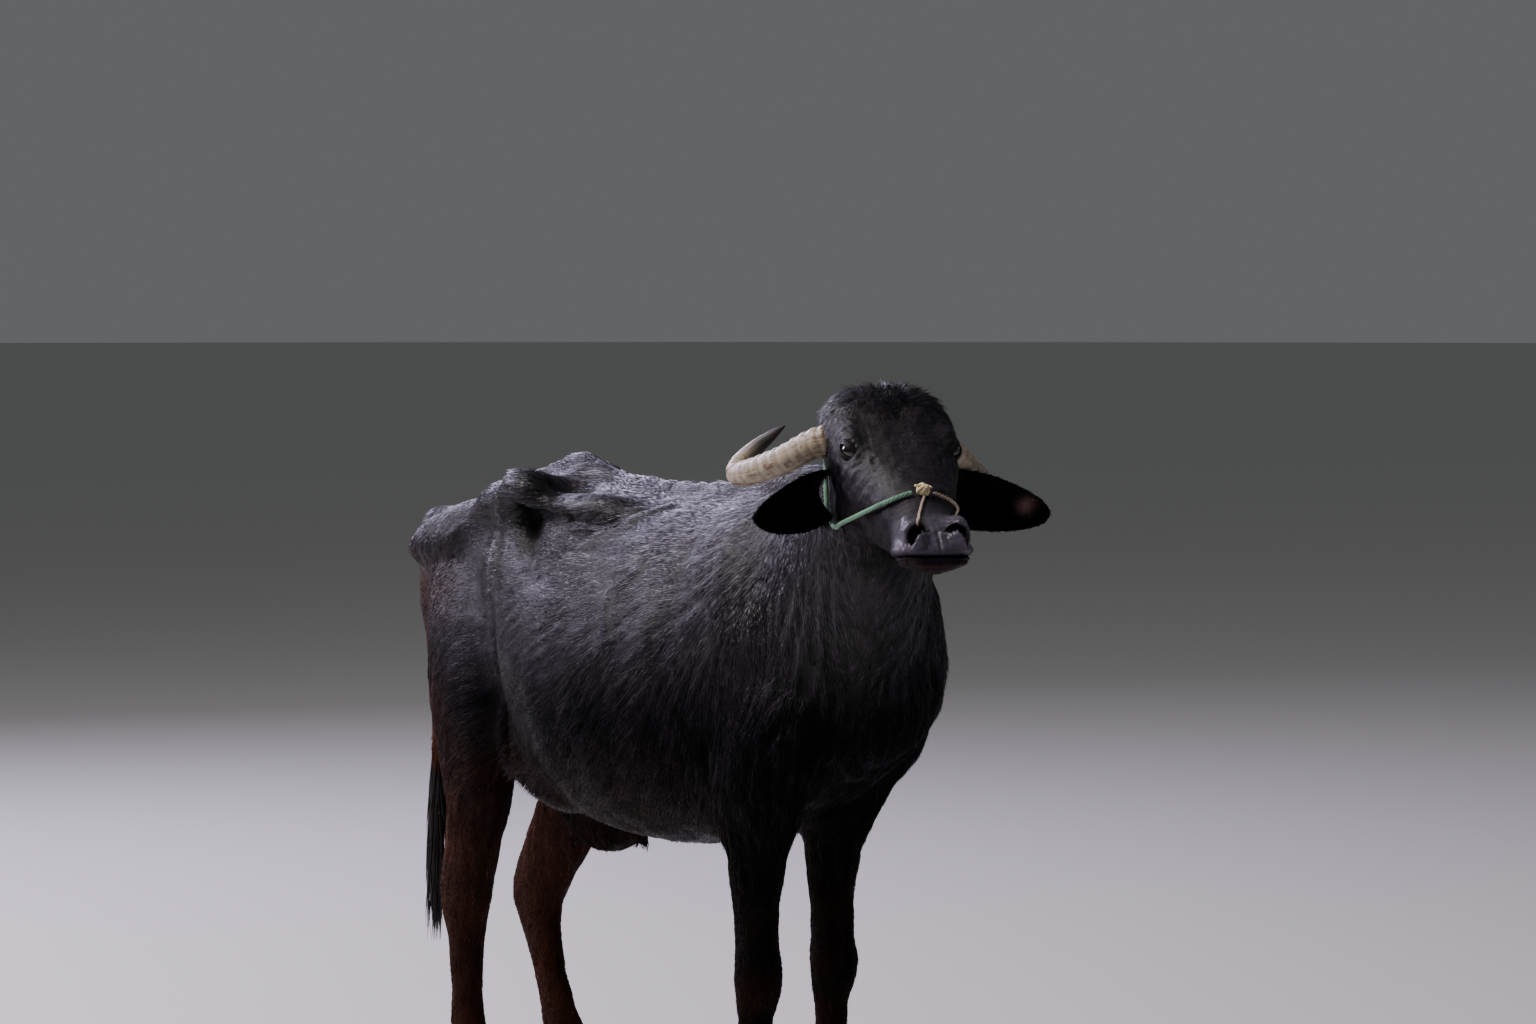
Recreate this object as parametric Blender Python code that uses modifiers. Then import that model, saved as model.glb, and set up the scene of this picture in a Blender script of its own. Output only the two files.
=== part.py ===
# A water buffalo cow, life size, standing with its head turned to its right.
# X runs forward along the body, Y to the animal's left and Z up, with the floor at zero.
# The flesh is modelled whole, from lofts and ellipsoids for its muscles and bones, and then
# parted into its named pieces with thin cuts. All sizes are in metres.

import math
import random

import bmesh
import bpy
import numpy as np
from mathutils import Matrix, Vector
from mathutils.bvhtree import BVHTree

UP = Vector((0.0, 0.0, 1.0))
GAP = 0.0004               # space kept between pieces that touch
VOXEL = 0.008              # grid that fuses the muscles into one surface
SMOOTHINGS = 45            # passes that round the fused surface
BODY_TRIANGLES = 4900      # faces of the fused body and legs, before they are parted
HEAD_TRIANGLES = 2300      # faces of the head before its openings are cut
HEAD_OVERLAP = 0.030       # how far the two reach past the cut between them
RING_POINTS = 28           # points round a loft's section

# Trunk sections, tail to chest: x, top, bottom, half width, height of the widest part as a share,
# and how sharply the section narrows towards the spine
TRUNK = [
    (-0.885, 1.180, 1.060, 0.080, 0.60, 1.0),
    (-0.850, 1.200, 1.000, 0.128, 0.66, 1.0),
    (-0.760, 1.232, 0.900, 0.165, 0.70, 1.0),
    (-0.640, 1.262, 0.790, 0.184, 0.72, 1.0),
    (-0.520, 1.286, 0.700, 0.210, 0.70, 1.0),
    (-0.440, 1.288, 0.655, 0.238, 0.62, 0.95),
    (-0.360, 1.270, 0.618, 0.270, 0.50, 0.95),
    (-0.200, 1.262, 0.585, 0.308, 0.45, 1.0),
    (-0.050, 1.258, 0.582, 0.310, 0.45, 1.1),
    (0.100, 1.262, 0.600, 0.288, 0.47, 1.2),
    (0.250, 1.285, 0.640, 0.250, 0.48, 1.3),
    (0.400, 1.295, 0.700, 0.202, 0.48, 1.3),
    (0.520, 1.255, 0.765, 0.158, 0.45, 1.2),
    (0.600, 1.150, 0.815, 0.105, 0.40, 1.0),
]

# Ridge of the spine, tail to withers: x, height and radius; it turns with the neck past its start
SPINE = [
    (-0.880, 1.186, 0.030), (-0.720, 1.240, 0.036), (-0.590, 1.266, 0.036),
    (-0.480, 1.304, 0.034), (-0.330, 1.266, 0.032), (-0.190, 1.256, 0.032),
    (-0.040, 1.254, 0.032), (0.120, 1.264, 0.034), (0.260, 1.292, 0.038),
    (0.370, 1.298, 0.036), (0.500, 1.296, 0.036), (0.640, 1.360, 0.034),
]
SPINE_TURN_START = 0.40
SPINE_TURN = 0.42
SPINE_SIDES = 12

# Bones and muscles of one side: place, way that each runs, half sizes, and its share of the
# hip's drop
BODY_FORMS = [
    # hook bone, the bar from it to the spine, the line from it to the pin bone, and the pin bone
    ((-0.400, 0.180, 1.256), (1, 0.30, 0.10), (0.080, 0.050, 0.044), 1.0),
    ((-0.440, 0.110, 1.250), (0.45, 1, 0.05), (0.130, 0.070, 0.038), 0.5),
    ((-0.490, 0.128, 1.230), (1, 0.0, 0.12), (0.140, 0.086, 0.055), 0.5),
    ((-0.838, 0.096, 1.165), (1, 0.0, 0.0), (0.078, 0.048, 0.052), 0.0),
    ((-0.745, 0.100, 1.170), (1, 0.0, 0.0), (0.110, 0.050, 0.050), 0.0),
    # rump muscles between them, and the front and back edges of the thigh
    ((-0.610, 0.128, 1.175), (1, -0.20, 0.22), (0.260, 0.066, 0.070), 0.5),
    ((-0.455, 0.168, 1.080), (0.18, -0.10, 1), (0.230, 0.050, 0.080), 1.0),
    ((-0.798, 0.118, 1.020), (-0.22, 0.0, 1), (0.200, 0.052, 0.076), 0.0),
    # loin shelf over the hollow of the flank, and the fold of skin between flank and thigh
    ((-0.270, 0.128, 1.232), (1, -0.10, 0.03), (0.140, 0.062, 0.026), 0.0),
    ((-0.424, 0.182, 0.790), (0.22, 0.0, 1.0), (0.112, 0.034, 0.060), 0.0),
    ((-0.325, 0.128, 0.706), (1, 0.0, -0.12), (0.138, 0.086, 0.078), 0.0),
    # shoulder blade, point of shoulder and upper arm
    ((0.370, 0.108, 1.040), (0.30, 0.10, -0.95), (0.215, 0.060, 0.100), 0.0),
    ((0.440, 0.128, 0.930), (1, 0, 0), (0.060, 0.055, 0.070), 0.0),
    ((0.340, 0.150, 0.830), (0.75, 0.0, 0.62), (0.190, 0.062, 0.095), 0.0),
]
ELBOW_BEHIND = 0.105       # from a foreleg's place
ELBOW = (0.150, 0.700)     # aside and up
ELBOW_SIZE = (0.055, 0.035, 0.045)
BRISKET = Vector((0.520, 0.0, 0.860))
BRISKET_SIZE = (0.140, 0.085, 0.085)

# Neck sections, shoulder to poll: x, y, middle height, half width, rise, drop, heading in degrees
NECK = [
    (0.300, 0.000, 1.030, 0.170, 0.255, 0.240, 0.0),
    (0.420, -0.010, 1.060, 0.165, 0.265, 0.250, -6.0),
    (0.530, -0.045, 1.105, 0.145, 0.255, 0.245, -14.0),
    (0.640, -0.100, 1.170, 0.120, 0.235, 0.220, -20.0),
    (0.740, -0.155, 1.235, 0.105, 0.212, 0.185, -24.0),
    (0.820, -0.196, 1.285, 0.096, 0.172, 0.150, -22.0),
    (0.880, -0.222, 1.300, 0.085, 0.140, 0.110, -21.0),
]
NECK_PEAK = 1.15

# Leg sections, top to foot: height, x and y from the leg's own place, reach forward, reach back,
# half width
FORE_LEG = [
    (0.900, 0.080, 0.010, 0.130, 0.110, 0.058),
    (0.800, 0.050, 0.015, 0.160, 0.140, 0.074),
    (0.720, 0.022, 0.012, 0.145, 0.128, 0.073),
    (0.660, 0.012, 0.006, 0.110, 0.100, 0.064),
    (0.600, 0.004, 0.000, 0.076, 0.077, 0.053),
    (0.500, 0.000, 0.000, 0.055, 0.058, 0.043),
    (0.430, 0.003, 0.000, 0.049, 0.048, 0.041),
    (0.385, 0.006, 0.000, 0.054, 0.047, 0.048),
    (0.345, 0.006, 0.000, 0.050, 0.046, 0.046),
    (0.300, 0.000, 0.000, 0.036, 0.038, 0.035),
    (0.220, 0.000, 0.000, 0.031, 0.036, 0.031),
    (0.165, 0.000, 0.000, 0.036, 0.043, 0.036),
    (0.125, 0.004, 0.000, 0.045, 0.049, 0.045),
    (0.095, 0.018, 0.000, 0.041, 0.046, 0.042),
    (0.065, 0.034, 0.000, 0.045, 0.053, 0.048),
    (0.030, 0.048, 0.000, 0.048, 0.056, 0.050),
]
HIND_STANDING = [
    (1.100, -0.650, 0.125, 0.160, 0.160, 0.080),
    (1.000, -0.640, 0.145, 0.165, 0.140, 0.092),
    (0.875, -0.630, 0.152, 0.160, 0.135, 0.088),
    (0.780, -0.625, 0.155, 0.150, 0.130, 0.078),
    (0.700, -0.625, 0.152, 0.108, 0.117, 0.066),
    (0.627, -0.628, 0.150, 0.094, 0.096, 0.057),
    (0.560, -0.648, 0.150, 0.088, 0.084, 0.049),
    (0.500, -0.664, 0.150, 0.084, 0.084, 0.047),
    (0.455, -0.674, 0.150, 0.074, 0.083, 0.047),
    (0.400, -0.676, 0.150, 0.054, 0.066, 0.043),
    (0.345, -0.674, 0.150, 0.040, 0.050, 0.035),
    (0.250, -0.672, 0.150, 0.034, 0.042, 0.031),
    (0.180, -0.668, 0.150, 0.037, 0.045, 0.036),
    (0.135, -0.660, 0.150, 0.046, 0.049, 0.045),
    (0.100, -0.642, 0.150, 0.041, 0.046, 0.042),
    (0.068, -0.624, 0.150, 0.044, 0.052, 0.047),
    (0.030, -0.610, 0.150, 0.047, 0.055, 0.049),
]
HIND_RESTING = [
    (1.060, -0.650, 0.125, 0.160, 0.150, 0.080),
    (0.960, -0.640, 0.145, 0.170, 0.135, 0.090),
    (0.850, -0.620, 0.152, 0.175, 0.135, 0.086),
    (0.760, -0.640, 0.150, 0.175, 0.125, 0.076),
    (0.680, -0.690, 0.142, 0.170, 0.098, 0.065),
    (0.610, -0.738, 0.134, 0.164, 0.090, 0.058),
    (0.550, -0.774, 0.128, 0.152, 0.086, 0.052),
    (0.494, -0.804, 0.124, 0.130, 0.086, 0.049),
    (0.445, -0.826, 0.122, 0.100, 0.086, 0.048),
    (0.400, -0.838, 0.122, 0.070, 0.074, 0.045),
    (0.350, -0.828, 0.122, 0.050, 0.056, 0.038),
    (0.260, -0.798, 0.125, 0.037, 0.045, 0.032),
    (0.185, -0.772, 0.129, 0.038, 0.046, 0.036),
    (0.140, -0.752, 0.131, 0.046, 0.050, 0.045),
    (0.105, -0.730, 0.133, 0.041, 0.047, 0.042),
    (0.070, -0.710, 0.134, 0.044, 0.052, 0.047),
    (0.030, -0.695, 0.135, 0.047, 0.055, 0.049),
]
LEG_POINTS = 20            # points round a leg's section
FORE_PLACE = {"right": (0.318, -0.130), "left": (0.192, 0.130)}
DEWCLAW_SIZE = (0.024, 0.013, 0.015)
DEWCLAW_ASIDE = 0.026
DEWCLAWS = [(0.278, -0.130, 0.098), (0.152, 0.130, 0.098), (-0.704, -0.150, 0.106),
            (-0.766, 0.145, 0.112)]
SIDES = {"left": 1.0, "right": -1.0}
HIP_DROP = {"left": 0.045, "right": 0.0}   # the resting leg lets its hip sink

# The head's own place and turn
EYES_MIDDLE = Vector((0.970, -0.269, 1.376))
HEAD_TURN = math.radians(-21.5)
HEAD_PITCH = math.radians(24.0)
HEAD_FORWARD = Vector((math.cos(HEAD_TURN), math.sin(HEAD_TURN), 0.0))
HEAD_LEFT = Vector((-math.sin(HEAD_TURN), math.cos(HEAD_TURN), 0.0))
HEAD_AXIS = HEAD_FORWARD * math.cos(HEAD_PITCH) - UP * math.sin(HEAD_PITCH)
HEAD_UP = HEAD_FORWARD * math.sin(HEAD_PITCH) + UP * math.cos(HEAD_PITCH)
AXIS_BELOW_EYES = 0.041

# Head sections along its axis: distance from the eyes, half width, height of the widest part, top,
# bottom, and the powers that make the upper and lower half squarer (below 1) or sharper
HEAD = [
    (-0.250, 0.066, -0.030, 0.020, -0.100, 1.00, 1.00),
    (-0.212, 0.096, 0.010, 0.076, -0.130, 0.84, 1.10),
    (-0.165, 0.112, 0.024, 0.098, -0.155, 0.74, 1.25),
    (-0.105, 0.118, 0.030, 0.100, -0.160, 0.70, 1.35),
    (-0.035, 0.112, 0.022, 0.080, -0.152, 0.72, 1.30),
    (0.035, 0.097, 0.000, 0.058, -0.134, 0.80, 1.10),
    (0.105, 0.078, -0.018, 0.045, -0.112, 0.86, 1.00),
    (0.175, 0.060, -0.028, 0.036, -0.090, 0.92, 1.00),
    (0.230, 0.058, -0.022, 0.031, -0.074, 0.92, 1.00),
    (0.268, 0.060, -0.018, 0.026, -0.063, 0.88, 1.00),
    (0.296, 0.054, -0.018, 0.015, -0.053, 0.88, 1.00),
    (0.314, 0.036, -0.020, -0.002, -0.040, 1.00, 1.00),
]

# Balls of the head in the middle, by its axis, and on each side, from between the eyes
MUZZLE = ((0.258, 0.0, -0.012), (0.060, 0.064, 0.038))
LIP = ((0.252, 0.036, -0.030), (0.050, 0.030, 0.024))
FACE_BALLS = {
    "nostril_wing": ((0.236, 0.043, -0.126), (0.040, 0.018, 0.024)),
    "brow": ((-0.012, 0.083, 0.020), (0.044, 0.026, 0.016)),
    "eyelids": ((0.002, 0.084, 0.0), (0.030, 0.024, 0.025)),
    "cheek": ((-0.055, 0.066, -0.105), (0.100, 0.032, 0.060)),
    "horn_root": ((-0.112, 0.084, 0.014), (0.046, 0.036, 0.046)),
}
# How softly the fused surface is rounded: less on the head and low on the legs
HEAD_HEART = (0.06, -0.04) # middle of the head by its axis
HEAD_REACH = 0.42
HEAD_EDGE = 2.6            # how fast the rounding fades into the head
HEAD_FIRMNESS = 0.86
LEG_FIRMNESS = 0.72
LEG_FIRM_BELOW = 0.45

EYE_SIDE = 0.085           # from the head's middle to the eyeball's centre
EYE_RADIUS = 0.0225
EYE_OPENING = (0.0185, 0.0120)     # half width and half height between the lids
EYE_TURN = 0.80            # how far an eye looks forward, against straight aside
NOSTRIL = (0.268, 0.039, -0.134)   # forward, aside and down from between the eyes
NOSTRIL_SIZE = (0.030, 0.0135, 0.0190)      # half depth, half width and half height
MOUTH = (0.195, -0.174)    # middle of the line of the mouth, forward and up from the eyes
MOUTH_SWEEP = 112.0        # degrees that the line turns to each side
MOUTH_GROOVE = 0.0032      # radius of the groove
MOUTH_POINTS = 22

# Horns: path from between the eyes as forward, aside, up, and the radius there
HORN_PATH = [
    (-0.100, 0.085, 0.020, 0.0295),
    (-0.118, 0.125, 0.010, 0.0290),
    (-0.160, 0.172, -0.020, 0.0275),
    (-0.215, 0.213, -0.042, 0.0262),
    (-0.262, 0.230, -0.048, 0.0245),
    (-0.290, 0.220, -0.030, 0.0210),
    (-0.297, 0.190, -0.002, 0.0165),
    (-0.294, 0.160, 0.021, 0.0100),
    (-0.292, 0.140, 0.036, 0.0028),
]
HORN_SET = {"right": (0.0, 0.0, 0.0), "left": (-0.020, -0.014, -0.026)}
HORN_RINGS = 18
HORN_SIDES = 9
HORN_RIDGE = 0.0012        # height of the growth rings
HORN_RIDGE_STEPS = 11      # growth rings from the base to the bend
HORN_SET_START = 0.4       # share of the offset that a horn has at its base

# Ears: root from between the eyes, length, breadth and how far each is swung from straight aside
EAR_ROOT = (-0.125, 0.090, -0.080)
EAR_LENGTH = 0.238
EAR_BREADTH = 0.115
EAR_CUP = 0.034
EAR_THICKNESS = 0.006
EAR_ROWS = 8
EAR_COLUMNS = 6
EAR_ROOT_SHARE = 0.42      # breadth at the root, as a share of the greatest
EAR_WIDEST = 0.50          # share of the length at which it is broadest
EAR_TIP_POWER = 1.9        # how blunt the tip is
EAR_EDGE = 0.002           # half breadth that is left at the tip
EAR_OPENING = 0.72         # how far the cup has opened at the tip
EAR_TILT = -0.12           # how far the cup looks down
STALK_SIZE = (0.046, 0.022, 0.028)
STALK_AHEAD = 0.012
EAR_SWING = {"right": 41.0, "left": -8.0}
EAR_DROOP = {"right": 9.0, "left": 11.0}

# Tail: x, y, height, radius
TAIL_PATH = [
    (-0.790, 0.000, 1.160, 0.034),
    (-0.862, -0.004, 1.184, 0.036),
    (-0.922, -0.012, 1.140, 0.031),
    (-0.945, -0.026, 1.020, 0.025),
    (-0.942, -0.042, 0.880, 0.021),
    (-0.936, -0.054, 0.760, 0.018),
    (-0.931, -0.064, 0.640, 0.016),
]
SWITCH_CORE = [
    (-0.932, -0.061, 0.675, 0.0165),
    (-0.929, -0.067, 0.590, 0.0150),
    (-0.927, -0.071, 0.520, 0.0120),
    (-0.925, -0.074, 0.450, 0.0070),
]
SWITCH_TOP = 0.6575
LOCK_ROWS = 5
LOCKS_IN_ROW = 4
LOCK_STEP = 0.038          # from one row of locks to the next
LOCK_LENGTH = 0.150
LOCK_BREADTH = 0.011       # half of it
LOCK_FLATNESS = 0.38
LOCK_SPREAD = 0.009
LOCK_RINGS = 4
LOCK_DROP = 0.022          # first row below the switch's top
LOCK_ROOT = 0.55           # breadth at the root, as a share
LOCK_SWELL = 0.9
LOCK_TAPER = 0.86

# Hooves: claws from heel to toe
CLAW_LENGTH = 0.118
CLAW_WIDTH = 0.052
CLAW_CLEFT = 0.005
CLAW_HEIGHT = 0.100
CLAW_LEAN = 0.50           # how far the toe wall runs back for its height
CORONET_FRONT = 0.082
CORONET_BACK = 0.048
CLAW_HEEL_LEAN = 0.12
CLAW_NARROWING = 0.10
CLAW_CORNERS = (0.85, 0.75)
WEB_PLACE = (-0.012, 0.058)    # between the claws, from the foot's middle
WEB_SIZE = (0.034, 0.024, 0.024)
CLAW_RINGS = 3
CLAW_POINTS = 12

# Udder
UDDER_MIDDLE = Vector((-0.385, 0.000, 0.636))
UDDER_SIZE = (0.125, 0.084, 0.096)
TEAT_PLACE = (0.062, 0.045)
TEAT_LENGTH = 0.050
TEAT_RADIUS = 0.011

# Nose rope: the middle of its loop, its place on the nose and on the nape, forward and up from
# between the eyes
ROPE_MIDDLE = (-0.185, -0.140)
ROPE_NOSE = (0.164, -0.064)
ROPE_NAPE = (-0.245, 0.060)
ROPE_RADIUS = 0.0044
ROPE_POINTS = 34
ROPE_SIDES = 6
ROPE_START = 0.055         # turn from the nose at which the rope leaves the knot
ROPE_END = 3.25            # turn at which it has passed the middle of the nape
ROPE_SAG = 0.140           # slope by which it hangs lower on the cheeks than a straight band
ROPE_EASE = 8              # passes that draw it straight over the hollows
ROPE_CROWDING = 1.6        # how much closer its points lie near the knot
CORD_RADIUS = 0.0030
CORD_POINTS = 9
CORD_REACH = 0.092
CORD_AHEAD = 0.010
KNOT_RADIUS = 0.0105
KNOT_SHAPE = (1.25, 1.0, 1.0)
KNOT_SUNK = 0.55
LOOP_SHAPE = (1.0, 0.55, 0.55)
LOOP_PLACE = (0.8, 0.7)

# Where the flesh is parted
NECK_CUT = Vector((0.500, 0.0, 1.05))
NECK_CUT_LOOK = Vector((0.92, -0.16, 0.36)).normalized()
HEAD_CUT_BACK = -0.150
HEAD_CUT_LOOK = (HEAD_FORWARD * 0.80 + UP * -0.10).normalized()
FORE_BLOCK = ((0.100, 0.001, -0.100), (0.600, 0.400, 0.598))
HIND_BLOCK = ((-1.100, 0.001, -0.100), (-0.478, 0.400, 0.655))


def clear_scene():
    for item in list(bpy.data.objects):
        bpy.data.objects.remove(item, do_unlink=True)


def new_collection(name):
    collection = bpy.data.collections.new(name)
    bpy.context.scene.collection.children.link(collection)
    return collection


def add_object(name, mesh, collection):
    item = bpy.data.objects.new(name, mesh)
    collection.objects.link(item)
    return item


def mesh_from_bmesh(name, shape):
    mesh = bpy.data.meshes.new(name)
    bmesh.ops.recalc_face_normals(shape, faces=shape.faces)
    shape.to_mesh(mesh)
    shape.free()
    return mesh


def section(centre, side, up, half, rise, drop, peak=1.0, belly=1.0, points=RING_POINTS):
    """An egg-shaped ring of points round a centre."""
    ring = []
    for step in range(points):
        turn = 2.0 * math.pi * step / points
        across, along = math.sin(turn), math.cos(turn)
        power = peak if along > 0.0 else belly
        out = math.copysign(abs(across) ** power, across) * half
        ring.append(centre + side * out + up * (along * (rise if along > 0.0 else drop)))
    return ring


def loft_mesh(name, rings):
    """A closed skin over a row of rings that have the same number of points."""
    shape = bmesh.new()
    rows = [[shape.verts.new(point) for point in ring] for ring in rings]
    count = len(rows[0])
    for low, high in zip(rows, rows[1:]):
        for step in range(count):
            after = (step + 1) % count
            shape.faces.new((low[step], low[after], high[after], high[step]))
    for row in (rows[0], rows[-1]):
        middle = shape.verts.new(sum((vert.co for vert in row), Vector()) / count)
        for step in range(count):
            shape.faces.new((row[step], row[(step + 1) % count], middle))
    return mesh_from_bmesh(name, shape)


def ball_mesh(name, centre, along, up, sizes, segments=20):
    """An ellipsoid with its first size along one direction and its last one upward."""
    along = along.normalized()
    side = up.cross(along).normalized()
    upward = along.cross(side)
    turn = Matrix((along, side, upward)).transposed().to_4x4()
    place = Matrix.Translation(centre) @ turn @ Matrix.Diagonal((*sizes, 1.0))
    shape = bmesh.new()
    bmesh.ops.create_uvsphere(shape, u_segments=segments, v_segments=segments // 2 + 2,
                              radius=1.0, matrix=place)
    return mesh_from_bmesh(name, shape)


def catmull(points, count):
    """Evenly spread points on a smooth curve through the given rows of numbers."""
    rows = [np.array(row, dtype=float) for row in points]
    rows = [2 * rows[0] - rows[1]] + rows + [2 * rows[-1] - rows[-2]]
    spans = len(rows) - 3
    result = []
    for step in range(count):
        place = spans * step / (count - 1)
        index = min(int(place), spans - 1)
        t = place - index
        a, b, c, d = rows[index:index + 4]
        result.append(0.5 * (2 * b + (c - a) * t + (2 * a - 5 * b + 4 * c - d) * t * t
                             + (3 * b - a - 3 * c + d) * t ** 3))
    return result


def tube_rings(path, sides, guide=Vector((1.0, 0.0, 0.0)), flat=1.0):
    """Rings square to a path whose rows are x, y, z and radius."""
    rings = []
    for index, row in enumerate(path):
        before, after = path[max(index - 1, 0)], path[min(index + 1, len(path) - 1)]
        tangent = Vector(after[:3] - before[:3]).normalized()
        side = tangent.cross(guide).normalized()
        other = side.cross(tangent)
        rings.append(section(Vector(row[:3]), side, other, row[3], row[3] * flat, row[3] * flat,
                             points=sides))
    return rings


def evaluated_mesh(item):
    graph = bpy.context.evaluated_depsgraph_get()
    return bpy.data.meshes.new_from_object(item.evaluated_get(graph))


def apply_modifiers(item):
    mesh = evaluated_mesh(item)
    item.modifiers.clear()
    old = item.data
    item.data = mesh
    bpy.data.meshes.remove(old)


def keep_largest(item):
    """Leaves only the largest closed surface of an object, in triangles."""
    shape = bmesh.new()
    shape.from_mesh(item.data)
    bmesh.ops.triangulate(shape, faces=shape.faces)
    unseen = set(shape.verts)
    groups = []
    while unseen:
        stack = [unseen.pop()]
        group = set(stack)
        while stack:
            for edge in stack.pop().link_edges:
                for vert in edge.verts:
                    if vert in unseen:
                        unseen.remove(vert)
                        group.add(vert)
                        stack.append(vert)
        groups.append(group)
    groups.sort(key=len)
    loose = [vert for group in groups[:-1] for vert in group]
    bmesh.ops.delete(shape, geom=loose, context="VERTS")
    shape.to_mesh(item.data)
    shape.free()


def combine(item, others, operation, solver="EXACT"):
    """Joins to, cuts from or keeps of an object what a group of closed meshes covers."""
    group = bpy.data.collections.new("group")
    for index, mesh in enumerate(others):
        add_object("tool_%d" % index, mesh, group)
    modifier = item.modifiers.new("combine", "BOOLEAN")
    modifier.operation = operation
    modifier.operand_type = "COLLECTION"
    modifier.collection = group
    modifier.solver = solver
    bpy.context.view_layer.update()
    apply_modifiers(item)
    for tool in list(group.objects):
        bpy.data.objects.remove(tool, do_unlink=True)
    bpy.data.collections.remove(group)


def grown(mesh, distance):
    """A copy of a mesh pushed outward along its normals."""
    copy = mesh.copy()
    normals = [vert.normal.copy() for vert in copy.vertices]
    for vert, normal in zip(copy.vertices, normals):
        vert.co += normal * distance
    return copy


def trim(item, others):
    """Cuts an object clear of its neighbours, with the gap that touching pieces keep."""
    for other in others:
        combine(item, [grown(other.data, GAP)], "DIFFERENCE")
    keep_largest(item)


def block(low, high, grow=0.0):
    size = [high[axis] - low[axis] + 2 * grow for axis in range(3)]
    middle = [(high[axis] + low[axis]) / 2 for axis in range(3)]
    shape = bmesh.new()
    place = Matrix.Translation(middle) @ Matrix.Diagonal((*size, 1.0))
    bmesh.ops.create_cube(shape, size=1.0, matrix=place)
    return mesh_from_bmesh("block", shape)


def head_point(forward, left, up):
    """A place on the head, measured level from midway between the eyes."""
    return EYES_MIDDLE + HEAD_FORWARD * forward + HEAD_LEFT * left + UP * up


def axis_point(along, left, up):
    """A place on the head, measured along its sloping axis."""
    start = head_point(0.0, 0.0, -AXIS_BELOW_EYES)
    return start + HEAD_AXIS * along + HEAD_LEFT * left + HEAD_UP * up


def trunk_meshes():
    side, spine, rings = Vector((0.0, 1.0, 0.0)), [], []
    for x, top, bottom, half, share, peak in TRUNK:
        middle = bottom + (top - bottom) * share
        rings.append(section(Vector((x, 0.0, middle)), side, UP, half, top - middle,
                             middle - bottom, peak))
    meshes = [loft_mesh("trunk", rings)]
    for x, height, radius in SPINE:
        turned = -max(x - SPINE_TURN_START, 0.0) * SPINE_TURN
        spine.append(np.array((x, turned, height, radius)))
    meshes.append(loft_mesh("spine", tube_rings(spine, SPINE_SIDES, UP)))
    return meshes


def frame_meshes():
    """The bones and muscles that show through the hide."""
    meshes = []
    for name, sign in SIDES.items():
        for place, along, sizes, share in BODY_FORMS:
            centre = Vector((place[0], place[1] * sign, place[2] - HIP_DROP[name] * share))
            way = Vector((along[0], along[1] * sign, along[2]))
            guide = UP if abs(along[0]) > 0.2 * abs(along[2]) else Vector((1.0, 0.0, 0.0))
            meshes.append(ball_mesh("form", centre, way, guide, sizes))
        x, _ = FORE_PLACE[name]
        elbow = Vector((x - ELBOW_BEHIND, ELBOW[0] * sign, ELBOW[1]))
        meshes.append(ball_mesh("elbow", elbow, Vector((1, 0, 0.5)), UP, ELBOW_SIZE))
    meshes.append(ball_mesh("brisket", BRISKET, Vector((0.75, 0, 0.66)), UP, BRISKET_SIZE))
    return meshes


def leg_mesh(name, stations, place, sign):
    rings = []
    for height, x, y, fore, aft, half in stations:
        centre = Vector((place[0] + x, place[1] + y * sign, height))
        rings.append(section(centre, Vector((0.0, 1.0, 0.0)), Vector((1.0, 0.0, 0.0)), half, fore,
                             aft, points=LEG_POINTS))
    return loft_mesh(name, rings)


def dewclaw_meshes(x, y, height):
    return [ball_mesh("dewclaw", Vector((x, y + side * DEWCLAW_ASIDE, height)),
                      Vector((0.5, 0.0, 1.0)), Vector((1.0, 0.0, 0.0)), DEWCLAW_SIZE, 12)
            for side in (-1, 1)]


def leg_meshes():
    meshes = []
    for name, sign in SIDES.items():
        meshes.append(leg_mesh("fore", FORE_LEG, FORE_PLACE[name], sign))
    meshes.append(leg_mesh("hind", HIND_STANDING, (0.0, 0.0), -1.0))
    meshes.append(leg_mesh("hind", HIND_RESTING, (0.0, 0.0), 1.0))
    for x, y, height in DEWCLAWS:
        meshes += dewclaw_meshes(x, y, height)
    return meshes


def neck_mesh():
    rings = []
    for x, y, height, half, rise, drop, heading in NECK:
        turn = math.radians(heading)
        side = Vector((-math.sin(turn), math.cos(turn), 0.0))
        rings.append(section(Vector((x, y, height)), side, UP, half, rise, drop, NECK_PEAK))
    return loft_mesh("neck", rings)


def head_meshes():
    rings = []
    for along, half, level, top, bottom, peak, belly in HEAD:
        rings.append(section(axis_point(along, 0.0, level), HEAD_LEFT, HEAD_UP, half, top - level,
                             level - bottom, peak, belly))
    meshes = [loft_mesh("head", rings)]
    meshes.append(ball_mesh("muzzle", axis_point(*MUZZLE[0]), HEAD_AXIS, HEAD_UP, MUZZLE[1]))
    for sign in SIDES.values():
        (along, aside, up), size = LIP
        meshes.append(ball_mesh("lip", axis_point(along, aside * sign, up), HEAD_AXIS, HEAD_UP, size))
        for name, ((forward, aside, up), size) in FACE_BALLS.items():
            meshes.append(ball_mesh(name, head_point(forward, aside * sign, up), HEAD_AXIS, HEAD_UP,
                                    size))
    return meshes


def join_meshes(name, meshes, collection):
    shape = bmesh.new()
    for mesh in meshes:
        shape.from_mesh(mesh)
        bpy.data.meshes.remove(mesh)
    mesh = bpy.data.meshes.new(name)
    shape.to_mesh(mesh)
    shape.free()
    return add_object(name, mesh, collection)


def nearness(point, centre, reach):
    return max(0.0, 1.0 - (point - centre).length / reach)


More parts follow.
